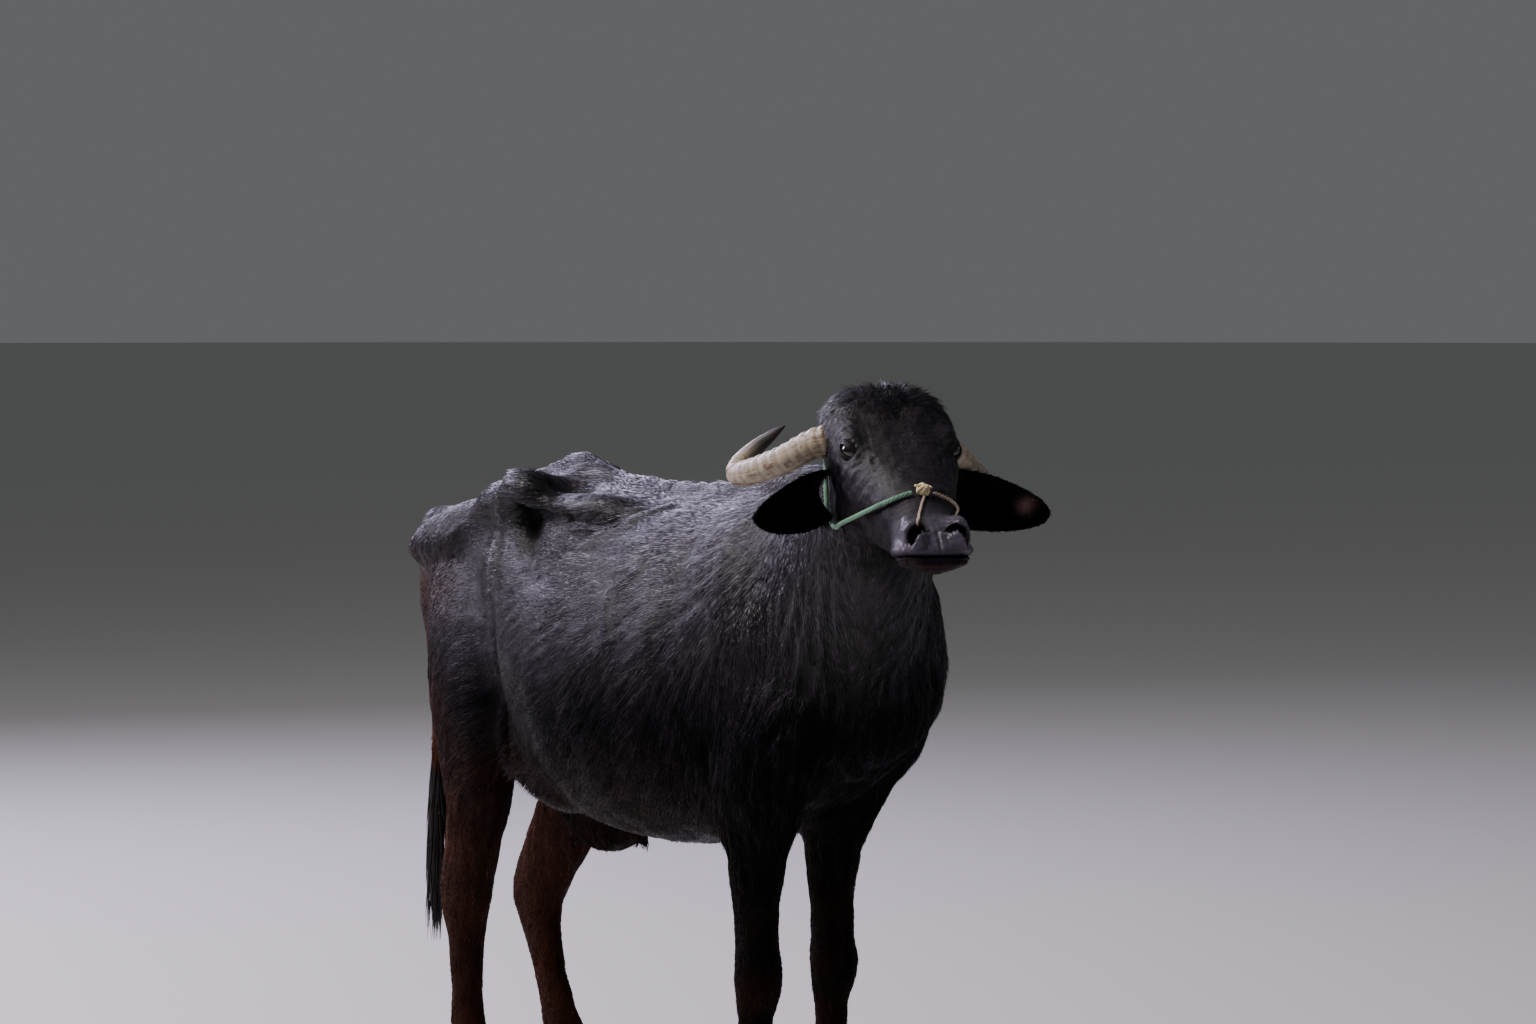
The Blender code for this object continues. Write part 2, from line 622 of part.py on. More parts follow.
def sliced(mesh, point, look):
    """A copy of a closed mesh without what lies beyond a plane, closed again."""
    shape = bmesh.new()
    shape.from_mesh(mesh)
    geometry = shape.verts[:] + shape.edges[:] + shape.faces[:]
    cut = bmesh.ops.bisect_plane(shape, geom=geometry, plane_co=point, plane_no=look,
                                 clear_outer=True)
    rim = [item for item in cut["geom_cut"] if isinstance(item, bmesh.types.BMEdge)]
    bmesh.ops.edgenet_fill(shape, edges=rim)
    return mesh_from_bmesh("slice", shape)


def thinned(mesh, triangles, name, collection):
    """An object made of a mesh with fewer faces."""
    item = add_object(name, mesh, collection)
    before = sum(len(face.vertices) - 2 for face in mesh.polygons)
    modifier = item.modifiers.new("thin", "DECIMATE")
    modifier.ratio = triangles / before
    modifier.use_collapse_triangulate = True
    apply_modifiers(item)
    return item


def fused_flesh(collection):
    """Melts the muscles into one smooth surface, and gives the head smaller faces."""
    fine = join_meshes("fine", trunk_meshes() + frame_meshes() + leg_meshes() + [neck_mesh()]
                       + head_meshes(), collection)
    remesh = fine.modifiers.new("fuse", "REMESH")
    remesh.mode = "VOXEL"
    remesh.voxel_size = VOXEL
    apply_modifiers(fine)
    soft = fine.vertex_groups.new(name="soft")
    head_middle = axis_point(HEAD_HEART[0], 0.0, HEAD_HEART[1])
    for vert in fine.data.vertices:
        in_head = min(1.0, HEAD_EDGE * nearness(vert.co, head_middle, HEAD_REACH))
        low = LEG_FIRMNESS if vert.co.z < LEG_FIRM_BELOW else 0.0
        soft.add([vert.index], 1.0 - HEAD_FIRMNESS * in_head - low * (1.0 - in_head), "REPLACE")
    smooth = fine.modifiers.new("smooth", "SMOOTH")
    smooth.factor = 0.5
    smooth.iterations = SMOOTHINGS
    smooth.vertex_group = soft.name
    apply_modifiers(fine)
    cut = head_point(HEAD_CUT_BACK, 0.0, 0.0)
    look = HEAD_CUT_LOOK
    head = thinned(sliced(fine.data, cut - look * HEAD_OVERLAP, -look), HEAD_TRIANGLES, "head",
                   collection)
    body = thinned(sliced(fine.data, cut + look * HEAD_OVERLAP, look), BODY_TRIANGLES, "torso",
                   collection)
    bpy.data.objects.remove(fine, do_unlink=True)
    return body, head


def side_block(corners, sign, grow=0.0):
    """The block that holds one side's leg."""
    low, high = corners
    ends = sorted((low[1] * sign, high[1] * sign))
    return block((low[0], ends[0], low[2]), (high[0], ends[1], high[2]), grow)


def part_off_legs(torso, collection):
    """Cuts the four legs from the torso."""
    legs = {}
    for name, sign in SIDES.items():
        for which, corners in (("fore", FORE_BLOCK), ("hind", HIND_BLOCK)):
            leg = add_object("leg_%s_%s" % (which, name), torso.data.copy(), collection)
            combine(leg, [side_block(corners, sign)], "INTERSECT")
            keep_largest(leg)
            legs[which, name] = leg
    cutters = [side_block(corners, sign, GAP) for sign in SIDES.values()
               for corners in (FORE_BLOCK, HIND_BLOCK)]
    for cutter in cutters:
        combine(torso, [cutter], "DIFFERENCE")
    keep_largest(torso)
    return legs


def part_off(item, name, point, look, collection):
    """Splits an object at a plane: it keeps what lies behind, a new object has the rest."""
    ahead = add_object(name, sliced(item.data, point + look * GAP / 2, -look), collection)
    item.data = sliced(item.data, point - look * GAP / 2, look)
    keep_largest(ahead)
    keep_largest(item)
    return ahead


def surface_of(items, seam=None):
    """The outside of some objects, without the faces in the cut at a seam between them."""
    shape = bmesh.new()
    for item in items:
        shape.from_mesh(item.data)
    if seam:
        point, look = seam
        inner = [face for face in shape.faces
                 if abs((face.calc_center_median() - point).dot(look)) < 4 * GAP
                 and abs(face.normal.dot(look)) > 0.99]
        bmesh.ops.delete(shape, geom=inner, context="FACES")
    tree = BVHTree.FromBMesh(shape)
    shape.free()
    return tree


def carve_head(head):
    """Cuts the eye sockets between the lids, the nostrils and the line of the mouth."""
    tree = surface_of([head])
    middle = head_point(MOUTH[0], 0.0, MOUTH[1])
    path = []
    for step in range(MOUTH_POINTS + 1):
        turn = math.radians(MOUTH_SWEEP) * (2.0 * step / MOUTH_POINTS - 1.0)
        way = HEAD_FORWARD * math.cos(turn) + HEAD_LEFT * math.sin(turn)
        place = tree.ray_cast(middle, way)[0]
        path.append(np.array((*place, MOUTH_GROOVE)))
    cutters = [loft_mesh("mouth", tube_rings(path, 6, UP))]
    for sign in SIDES.values():
        cutters.append(ball_mesh("nostril", head_point(NOSTRIL[0], NOSTRIL[1] * sign, NOSTRIL[2]),
                                 HEAD_AXIS + HEAD_LEFT * (-0.25 * sign), HEAD_UP, NOSTRIL_SIZE, 14))
    for cutter in cutters:
        combine(head, [cutter], "DIFFERENCE")
    for sign in SIDES.values():
        eye = head_point(0.0, EYE_SIDE * sign, 0.0)
        look = (HEAD_LEFT * sign + HEAD_FORWARD * EYE_TURN).normalized()
        along = (HEAD_AXIS - look * HEAD_AXIS.dot(look)).normalized()
        opening = ball_mesh("opening", eye + look * EYE_RADIUS, along, look.cross(along) * -sign,
                            (EYE_OPENING[0], 0.030, EYE_OPENING[1]), 14)
        socket = ball_mesh("socket", eye, HEAD_AXIS, HEAD_UP, (EYE_RADIUS + GAP,) * 3, 16)
        combine(head, [opening], "DIFFERENCE")
        combine(head, [socket], "DIFFERENCE")
    keep_largest(head)


def make_eyes(collection):
    for name, sign in SIDES.items():
        mesh = ball_mesh("eye", head_point(0.0, EYE_SIDE * sign, 0.0), HEAD_AXIS, HEAD_UP,
                         (EYE_RADIUS,) * 3, 16)
        keep_largest(add_object("eye_%s" % name, mesh, collection))


def horn_mesh(name, sign):
    """A horn along its curve, with growth rings up to the bend."""
    path = []
    forward, aside, up = HORN_SET[name]
    for step, row in enumerate(catmull(HORN_PATH, HORN_RINGS)):
        share = HORN_SET_START + (1.0 - HORN_SET_START) * min(1.0, 2.0 * step / HORN_RINGS)
        place = head_point(row[0] + forward * share, (row[1] + aside * share) * sign,
                           row[2] + up * share)
        ridge = HORN_RIDGE if step % 2 and step < HORN_RIDGE_STEPS else 0.0
        path.append(np.array((*place, row[3] + ridge)))
    return loft_mesh("horn", tube_rings(path, HORN_SIDES, UP))


def make_horns(flesh, collection):
    for name, sign in SIDES.items():
        horn = add_object("horn_%s" % name, horn_mesh(name, sign), collection)
        trim(horn, flesh)


def ear_mesh(name, sign):
    """The cup of an ear: a leaf that is hollowed towards the front."""
    swing = math.radians(EAR_SWING[name])
    droop = math.radians(EAR_DROOP[name])
    level = HEAD_LEFT * (sign * math.cos(swing)) + HEAD_FORWARD * math.sin(swing)
    along = level * math.cos(droop) - UP * math.sin(droop)
    facing = (HEAD_FORWARD * math.cos(swing) - HEAD_LEFT * (sign * math.sin(swing))
              + UP * EAR_TILT).normalized()
    across = facing.cross(along).normalized()
    root = head_point(EAR_ROOT[0], EAR_ROOT[1] * sign, EAR_ROOT[2])
    shape = bmesh.new()
    rows = []
    for step in range(EAR_ROWS + 1):
        t = step / EAR_ROWS
        spread = math.sin(math.pi * min(1.0, t / EAR_WIDEST) / 2)
        half = EAR_BREADTH / 2 * (EAR_ROOT_SHARE + (1.0 - EAR_ROOT_SHARE) * spread)
        half = half * math.sqrt(max(0.0, 1.0 - t ** EAR_TIP_POWER)) + EAR_EDGE
        cup = EAR_CUP * (1.0 - EAR_OPENING * t)
        row = []
        for place in range(EAR_COLUMNS + 1):
            s = 2.0 * place / EAR_COLUMNS - 1.0
            point = root + along * (EAR_LENGTH * t) + across * (half * s)
            point -= facing * (cup * (1.0 - s * s))
            row.append(shape.verts.new(point))
        rows.append(row)
    for low, high in zip(rows, rows[1:]):
        for place in range(EAR_COLUMNS):
            shape.faces.new((low[place], low[place + 1], high[place + 1], high[place]))
    return mesh_from_bmesh("ear", shape), root, along, facing


def make_ears(flesh, collection):
    for name, sign in SIDES.items():
        mesh, root, along, facing = ear_mesh(name, sign)
        ear = add_object("ear_%s" % name, mesh, collection)
        shell = ear.modifiers.new("shell", "SOLIDIFY")
        shell.thickness = EAR_THICKNESS
        shell.offset = 0.0
        shell.use_even_offset = True
        apply_modifiers(ear)
        stalk = ball_mesh("stalk", root + along * STALK_AHEAD - facing * (EAR_CUP * 0.9), along, UP,
                          STALK_SIZE, 14)
        combine(ear, [stalk], "UNION")
        trim(ear, flesh)


def make_tail(torso, collection):
    path = catmull(TAIL_PATH, 14)
    tail = add_object("tail", loft_mesh("tail", tube_rings(path, 10)), collection)
    top = Vector((0.0, 0.0, SWITCH_TOP))
    tail.data = sliced(tail.data, top + UP * GAP / 2, -UP)
    trim(tail, [torso])


def lock_mesh(start, out, length, breadth, bend):
    """A flat, tapered lock of hair that leaves the tail and falls."""
    path = []
    for step in range(LOCK_RINGS + 1):
        t = step / LOCK_RINGS
        place = start + out * (LOCK_SPREAD * math.sin(2.2 * t)) - UP * (length * t)
        place += bend * (t * t)
        taper = 1.0 - LOCK_TAPER * max(0.0, 2 * t - 1) ** 1.5
        width = breadth * (min(1.0, LOCK_ROOT + LOCK_SWELL * t) if t < 0.5 else taper)
        path.append(np.array((*place, width)))
    return loft_mesh("lock", tube_rings(path, 4, out, LOCK_FLATNESS))


def make_switch(collection):
    """The tail's switch: locks in rows round a core."""
    draw = random.Random(7)
    core = catmull(SWITCH_CORE, 7)
    switch = add_object("tail_switch", loft_mesh("core", tube_rings(core, 8)), collection)
    locks = []
    for row in range(LOCK_ROWS):
        height = SWITCH_TOP - LOCK_DROP - row * LOCK_STEP
        middle = min(catmull(SWITCH_CORE, 60), key=lambda point: abs(point[2] - height))
        for index in range(LOCKS_IN_ROW):
            turn = 2 * math.pi * (index + 0.5 * (row % 2) + draw.uniform(-0.15, 0.15)) / LOCKS_IN_ROW
            out = Vector((math.cos(turn), math.sin(turn), 0.0))
            start = Vector(middle[:3]) + out * (middle[3] * 0.62)
            bend = Vector((draw.uniform(-0.010, 0.006), draw.uniform(-0.008, 0.008), 0.0))
            locks.append(lock_mesh(start, out, LOCK_LENGTH * draw.uniform(0.85, 1.12),
                                   LOCK_BREADTH * draw.uniform(0.85, 1.15), bend))
    combine(switch, locks, "UNION")
    switch.data = sliced(switch.data, Vector((0.0, 0.0, SWITCH_TOP - GAP / 2)), UP)
    keep_largest(switch)


def claw_mesh(heel, y):
    """One claw: a flat sole, a leaning toe wall and a steeper heel."""
    rings = []
    for step in range(CLAW_RINGS + 1):
        height = CLAW_HEIGHT * step / CLAW_RINGS
        toe = heel + CLAW_LENGTH - height * CLAW_LEAN
        back = heel + height * CLAW_HEEL_LEAN
        half = CLAW_WIDTH / 2 * (1.0 - CLAW_NARROWING * step / CLAW_RINGS)
        middle = Vector(((toe + back) / 2, y, height))
        reach = (toe - back) / 2
        rings.append(section(middle, Vector((0.0, 1.0, 0.0)), Vector((1.0, 0.0, 0.0)), half, reach,
                             reach, *CLAW_CORNERS, CLAW_POINTS))
    return loft_mesh("claw", rings)


def make_hooves(legs, collection):
    """Parts each foot at the coronet and stands it on two claws."""
    foot = {("fore", "left"): FORE_PLACE["left"][0] + FORE_LEG[-1][1],
            ("fore", "right"): FORE_PLACE["right"][0] + FORE_LEG[-1][1],
            ("hind", "left"): HIND_RESTING[-1][1], ("hind", "right"): HIND_STANDING[-1][1]}
    side = {("fore", "left"): FORE_PLACE["left"][1], ("fore", "right"): FORE_PLACE["right"][1],
            ("hind", "left"): HIND_RESTING[-1][2], ("hind", "right"): -HIND_STANDING[-1][2]}
    for key, leg in legs.items():
        x, y = foot[key], side[key]
        heel = x - CLAW_LENGTH / 2
        run = CLAW_LENGTH - CORONET_FRONT * CLAW_LEAN
        look = Vector((CORONET_BACK - CORONET_FRONT, 0.0, run)).normalized()
        coronet = Vector((heel, y, CORONET_BACK))
        leg.data = sliced(leg.data, coronet + look * GAP / 2, -look)
        keep_largest(leg)
        aside = (CLAW_WIDTH + CLAW_CLEFT) / 2
        hoof = add_object("hoof_%s_%s" % key, claw_mesh(heel, y - aside), collection)
        web = ball_mesh("web", Vector((x + WEB_PLACE[0], y, WEB_PLACE[1])), Vector((1, 0, 0)), UP,
                        WEB_SIZE, 8)
        combine(hoof, [claw_mesh(heel, y + aside), web], "UNION")
        hoof.data = sliced(hoof.data, coronet - look * GAP / 2, look)
        keep_largest(hoof)


def make_udder(torso, collection):
    """An udder with four teats."""
    udder = add_object("udder", ball_mesh("bag", UDDER_MIDDLE, Vector((1, 0, 0)), UP, UDDER_SIZE, 16),
                       collection)
    teats = []
    for forward in (-1, 1):
        for aside in (-1, 1):
            place = UDDER_MIDDLE + Vector((TEAT_PLACE[0] * forward, TEAT_PLACE[1] * aside, 0.0))
            drop = UDDER_SIZE[2] * math.sqrt(1 - (TEAT_PLACE[0] / UDDER_SIZE[0]) ** 2
                                             - (TEAT_PLACE[1] / UDDER_SIZE[1]) ** 2)
            place.z -= drop
            teats.append(ball_mesh("teat", place, UP, Vector((1, 0, 0)),
                                   (TEAT_LENGTH / 2, TEAT_RADIUS, TEAT_RADIUS), 8))
    combine(udder, teats, "UNION")
    trim(udder, [torso])


def rope_points(tree, turns, radius):
    """Places of the nose rope's middle line, lying on the hide, for the given turns."""
    middle = head_point(ROPE_MIDDLE[0], 0.0, ROPE_MIDDLE[1])
    points = []
    for turn in turns:
        end = ROPE_NOSE if math.cos(turn) > 0.0 else ROPE_NAPE
        ahead = end[0] - ROPE_MIDDLE[0]
        upward = end[1] - ROPE_MIDDLE[1]
        size = math.hypot(ahead, upward)
        way = HEAD_LEFT * math.sin(turn)
        way += (HEAD_FORWARD * ahead + UP * upward) / size * abs(math.cos(turn))
        if math.cos(turn) > 0.0:
            way -= UP * (ROPE_SAG * math.sin(2.0 * abs(turn)))
        place, normal, _, _ = tree.ray_cast(middle, way.normalized())
        points.append(place + normal * (radius + GAP))
    for _ in range(ROPE_EASE):
        for before, index in enumerate(range(1, len(points) - 1)):
            chord = (points[before] + points[index + 1]) / 2
            if (chord - middle).length > (points[index] - middle).length:
                points[index] = chord
            place, normal, _, _ = tree.find_nearest(points[index])
            if (points[index] - place).dot(normal) < radius + GAP:
                points[index] = place + normal * (radius + GAP)
    return points


def rope_turns(sign):
    """Turns that spread a half of the rope about evenly along its length."""
    sweep = ROPE_END - ROPE_START
    return [sign * (ROPE_START + sweep * (step / ROPE_POINTS) ** ROPE_CROWDING)
            for step in range(ROPE_POINTS + 1)]


def make_ropes(head, neck, collection):
    """The rope over the nose and behind the ears, its knot, and the cord down to a nostril."""
    tree = surface_of([head, neck], (head_point(HEAD_CUT_BACK, 0.0, 0.0), HEAD_CUT_LOOK))
    flesh = [head, neck]
    for name, sign, radius in (("nose_rope", -1.0, ROPE_RADIUS), ("nose_rope_left", 1.0, CORD_RADIUS)):
        path = [np.array((*point, radius)) for point in rope_points(tree, rope_turns(sign), radius)]
        rope = add_object(name, loft_mesh(name, tube_rings(path, ROPE_SIDES, HEAD_UP)), collection)
        rope.data = sliced(rope.data, EYES_MIDDLE + HEAD_LEFT * (sign * GAP / 2), HEAD_LEFT * -sign)
        trim(rope, flesh)
    ropes = [bpy.data.objects["nose_rope"], bpy.data.objects["nose_rope_left"]]
    top = rope_points(tree, [0.0], KNOT_RADIUS * KNOT_SUNK)[0]
    sizes = [KNOT_RADIUS * share for share in KNOT_SHAPE]
    knot = add_object("rope_knot", ball_mesh("knot", top, HEAD_LEFT, HEAD_UP, sizes, 10), collection)
    ahead, aside = (KNOT_RADIUS * share for share in LOOP_PLACE)
    loops = [ball_mesh("loop", top + HEAD_AXIS * ahead + HEAD_LEFT * side, HEAD_AXIS, HEAD_UP,
                       [KNOT_RADIUS * share for share in LOOP_SHAPE], 8) for side in (-aside, aside)]
    combine(knot, loops, "UNION")
    cord_path = []
    start = head_point(ROPE_NOSE[0] + CORD_AHEAD, 0.0, ROPE_NOSE[1])
    end = head_point(NOSTRIL[0] - CORD_AHEAD, -NOSTRIL[1], NOSTRIL[2] + NOSTRIL_SIZE[2])
    for step in range(CORD_POINTS + 1):
        t = step / CORD_POINTS
        guess = start.lerp(end, t) + HEAD_UP * CORD_REACH
        place, normal, _, _ = tree.ray_cast(guess, -HEAD_UP)
        cord_path.append(np.array((*(place + normal * (CORD_RADIUS + GAP)), CORD_RADIUS)))
    cord = add_object("nose_cord", loft_mesh("cord", tube_rings(cord_path, 6, HEAD_LEFT)), collection)
    trim(knot, flesh + ropes)
    trim(cord, flesh + ropes + [knot])


def give_materials(collection):
    """Each piece's own plain finish: colour, roughness."""
    finishes = {"horn": ((0.60, 0.50, 0.33), 0.45), "eye": ((0.008, 0.006, 0.006), 0.08),
                "hoof": ((0.030, 0.026, 0.024), 0.55), "nose_rope": ((0.11, 0.25, 0.16), 0.8),
                "rope_knot": ((0.74, 0.60, 0.33), 0.85), "nose_cord": ((0.43, 0.32, 0.24), 0.85),
                "nose_rope_left": ((0.43, 0.32, 0.24), 0.85)}
    for item in collection.objects:
        colour, rough = (0.012, 0.010, 0.010), 0.5
        for prefix, finish in finishes.items():
            if item.name.startswith(prefix):
                colour, rough = finish
        material = bpy.data.materials.new(item.name)
        material.use_nodes = True
        shader = material.node_tree.nodes["Principled BSDF"]
        shader.inputs["Base Color"].default_value = (*colour, 1.0)
        shader.inputs["Roughness"].default_value = rough
        shader.inputs["Metallic"].default_value = 0.0
        item.data.materials.clear()
        item.data.materials.append(material)
        item.data.shade_smooth()
        item.data.set_sharp_from_angle(angle=math.radians(50))


def stand_on_origin(collection):
    """Moves everything so that the origin is under the middle of the whole box."""
    corners = [vert.co for item in collection.objects for vert in item.data.vertices]
    low = Vector([min(corner[axis] for corner in corners) for axis in range(3)])
    high = Vector([max(corner[axis] for corner in corners) for axis in range(3)])
    shift = Vector((-(low.x + high.x) / 2, -(low.y + high.y) / 2, -low.z))
    for item in collection.objects:
        item.data.transform(Matrix.Translation(shift))
    return shift


def main():
    clear_scene()
    parts = new_collection("water_buffalo")
    torso, head = fused_flesh(parts)
    cut = head_point(HEAD_CUT_BACK, 0.0, 0.0)
    head.data = sliced(head.data, cut + HEAD_CUT_LOOK * GAP / 2, -HEAD_CUT_LOOK)
    torso.data = sliced(torso.data, cut - HEAD_CUT_LOOK * GAP / 2, HEAD_CUT_LOOK)
    keep_largest(head)
    keep_largest(torso)
    neck = part_off(torso, "neck", NECK_CUT, NECK_CUT_LOOK, parts)
    legs = part_off_legs(torso, parts)
    make_hooves(legs, parts)
    carve_head(head)
    make_eyes(parts)
    make_horns([head, neck], parts)
    make_ears([head, neck], parts)
    make_tail(torso, parts)
    make_switch(parts)
    make_udder(torso, parts)
    make_ropes(head, neck, parts)
    give_materials(parts)
    return stand_on_origin(parts)


SHIFT = main()
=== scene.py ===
# Dresses the life-size water buffalo: its hide, coat, ears, eyes, horns, hooves, tail hair and nose
# rope, with the floor, light and camera. All lengths are in metres.

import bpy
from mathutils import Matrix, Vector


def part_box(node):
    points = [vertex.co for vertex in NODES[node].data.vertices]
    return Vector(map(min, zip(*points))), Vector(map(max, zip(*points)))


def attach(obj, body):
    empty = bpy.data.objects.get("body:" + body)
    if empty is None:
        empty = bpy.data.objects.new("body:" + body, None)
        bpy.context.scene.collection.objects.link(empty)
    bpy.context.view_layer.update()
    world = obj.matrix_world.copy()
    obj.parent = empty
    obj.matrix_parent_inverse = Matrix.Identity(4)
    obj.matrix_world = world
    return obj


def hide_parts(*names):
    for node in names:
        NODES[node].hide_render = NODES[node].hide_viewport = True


bl_info = {
    "name": "Water Buffalo Model",
    "version": (1, 0, 0),
    "blender": (4, 5, 0),
    "location": "3D View > Sidebar > Buffalo",
    "description": "Hide, coat, horns, eyes, hooves, tail hair and nose rope of a water buffalo",
    "category": "Object",
}

import math
import random

import bmesh
import bpy
import numpy as np
from bpy.props import FloatProperty, FloatVectorProperty, IntProperty, PointerProperty
from mathutils import Matrix, Vector
from mathutils.bvhtree import BVHTree

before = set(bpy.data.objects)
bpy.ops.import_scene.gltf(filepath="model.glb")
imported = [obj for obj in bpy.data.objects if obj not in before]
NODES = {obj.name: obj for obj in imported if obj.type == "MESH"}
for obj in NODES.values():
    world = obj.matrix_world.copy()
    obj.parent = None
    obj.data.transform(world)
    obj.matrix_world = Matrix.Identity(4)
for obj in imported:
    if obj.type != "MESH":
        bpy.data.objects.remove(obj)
UP = Vector((0.0, 0.0, 1.0))
SIDES = {"left": 1.0, "right": -1.0}
LEGS = ("leg_fore_left", "leg_fore_right", "leg_hind_left", "leg_hind_right")
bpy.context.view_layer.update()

# The head's own place and turn; the shift takes a place on the drawing to its place in the frame
HEAD_TURN = math.radians(-21.5)
HEAD_PITCH = math.radians(24.0)
HEAD_FORWARD = Vector((math.cos(HEAD_TURN), math.sin(HEAD_TURN), 0.0))
HEAD_LEFT = Vector((-math.sin(HEAD_TURN), math.cos(HEAD_TURN), 0.0))
HEAD_AXIS = HEAD_FORWARD * math.cos(HEAD_PITCH) - UP * math.sin(HEAD_PITCH)
HEAD_UP = HEAD_FORWARD * math.sin(HEAD_PITCH) + UP * math.cos(HEAD_PITCH)
EYE_BOXES = {name: [Vector(corner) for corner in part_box("eye_" + name)] for name in SIDES}
EYES = sum((corner for pair in EYE_BOXES.values() for corner in pair), Vector()) / 4
SHIFT = EYES - Vector((0.970, -0.269, 1.376))
EYE_RADIUS = (EYE_BOXES["left"][1] - EYE_BOXES["left"][0]).x / 2
EYE_SIDE = (sum(EYE_BOXES["left"], Vector()) / 2 - EYES).length
SKIN_CUT_BACK = -0.235     # where the skin of the head meets that of the body
SKIN_CUT_LOOK = (HEAD_FORWARD * 0.80 + UP * -0.10).normalized()


def colour(code):
    """The linear values of an sRGB hex colour."""
    values = [int(code[place:place + 2], 16) / 255 for place in (1, 3, 5)]
    return tuple(v / 12.92 if v <= 0.04045 else ((v + 0.055) / 1.055) ** 2.4 for v in values)


def place(x, y, z):
    """A place on the drawing, as a place in the frame."""
    return Vector((x, y, z)) + SHIFT


def head_point(forward, left, up):
    """A place on the head, measured level from midway between the eyes."""
    return EYES + HEAD_FORWARD * forward + HEAD_LEFT * left + UP * up


def mesh_from_bmesh(name, shape):
    mesh = bpy.data.meshes.new(name)
    bmesh.ops.recalc_face_normals(shape, faces=shape.faces)
    shape.to_mesh(mesh)
    shape.free()
    return mesh


def new_object(name, mesh, material=None):
    item = bpy.data.objects.new(name, mesh)
    bpy.context.scene.collection.objects.link(item)
    if material:
        mesh.materials.clear()
        mesh.materials.append(material)
    return item


def drop(item):
    bpy.data.objects.remove(item, do_unlink=True)


def settled(item):
    """Applies an object's modifiers to its mesh."""
    graph = bpy.context.evaluated_depsgraph_get()
    mesh = bpy.data.meshes.new_from_object(item.evaluated_get(graph))
    item.modifiers.clear()
    item.data = mesh
    return item


def merged_copy(name, grow=0.0):
    """A copy of a node's mesh with its triangles joined, pushed outward a little."""
    shape = bmesh.new()
    shape.from_mesh(NODES[name].data)
    bmesh.ops.remove_doubles(shape, verts=shape.verts, dist=0.00005)
    shape.normal_update()
    moved = [(vert, vert.co + vert.normal * grow) for vert in shape.verts]
    for vert, point in moved:
        vert.co = point
    mesh = bpy.data.meshes.new(name + "_copy")
    shape.to_mesh(mesh)
    shape.free()
    return mesh


def ring(centre, side, up, half, rise, fall, power=1.0, count=16):
    """An egg-shaped ring of points round a centre."""
    points = []
    for step in range(count):
        turn = 2.0 * math.pi * step / count
        across, along = math.sin(turn), math.cos(turn)
        out = math.copysign(abs(across) ** power, across) * half
        points.append(centre + side * out + up * (along * (rise if along > 0.0 else fall)))
    return points


def loft(name, rings, closed=False):
    """A skin over a row of rings, with its two ends filled or, if closed, joined."""
    shape = bmesh.new()
    rows = [[shape.verts.new(point) for point in row] for row in rings]
    count = len(rows[0])
    pairs = list(zip(rows, rows[1:]))
    if closed:
        pairs.append((rows[-1], rows[0]))
    for low, high in pairs:
        for step in range(count):
            after = (step + 1) % count
            shape.faces.new((low[step], low[after], high[after], high[step]))
    if not closed:
        for row in (rows[0], rows[-1]):
            middle = shape.verts.new(sum((vert.co for vert in row), Vector()) / count)
            for step in range(count):
                shape.faces.new((row[step], row[(step + 1) % count], middle))
    return mesh_from_bmesh(name, shape)


def tube_rings(path, radii, count, guide=UP, flat=1.0):
    """Rings square to a path of points."""
    rings = []
    for index, point in enumerate(path):
        before, after = path[max(index - 1, 0)], path[min(index + 1, len(path) - 1)]
        tangent = (after - before).normalized()
        side = tangent.cross(guide).normalized()
        other = side.cross(tangent)
        radius = radii[index] if hasattr(radii, "__len__") else radii
        rings.append(ring(point, side, other, radius, radius * flat, radius * flat, 1.0, count))
    return rings


def ball(name, centre, along, up, sizes, segments=24):
    """An ellipsoid with its first size along one direction and its last one upward."""
    along = along.normalized()
    side = up.cross(along).normalized()
    turn = Matrix((along, side, along.cross(side))).transposed().to_4x4()
    matrix = Matrix.Translation(centre) @ turn @ Matrix.Diagonal((*sizes, 1.0))
    shape = bmesh.new()
    bmesh.ops.create_uvsphere(shape, u_segments=segments, v_segments=segments // 2 + 2,
                              radius=1.0, matrix=matrix)
    return mesh_from_bmesh(name, shape)


def curve_points(points, count):
    """Evenly spread places on a smooth curve through the given points or rows of numbers."""
    rows = [np.array(row, dtype=float) for row in points]
    rows = [2 * rows[0] - rows[1]] + rows + [2 * rows[-1] - rows[-2]]
    spans = len(rows) - 3
    result = []
    for step in range(count):
        at = spans * step / (count - 1)
        index = min(int(at), spans - 1)
        t = at - index
        a, b, c, d = rows[index:index + 4]
        result.append(0.5 * (2 * b + (c - a) * t + (2 * a - 5 * b + 4 * c - d) * t * t
                             + (3 * b - a - 3 * c + d) * t ** 3))
    return result


def joined(name, meshes):
    """One object of several meshes."""
    shape = bmesh.new()
    for mesh in meshes:
        shape.from_mesh(mesh)
        bpy.data.meshes.remove(mesh)
    mesh = bpy.data.meshes.new(name)
    shape.to_mesh(mesh)
    shape.free()
    return new_object(name, mesh)


def remesh(item, grid):
    """Fuses an object's shells into one surface of even squares."""
    modifier = item.modifiers.new("fuse", "REMESH")
    modifier.mode = "VOXEL"
    modifier.voxel_size = grid
    return settled(item)


def cut_out(item, meshes):
    """Cuts closed meshes from an object."""
    for mesh in meshes:
        tool = new_object("tool", mesh)
        modifier = item.modifiers.new("cut", "BOOLEAN")
        modifier.operation = "DIFFERENCE"
        modifier.object = tool
        modifier.solver = "EXACT"
        settled(item)
        drop(tool)


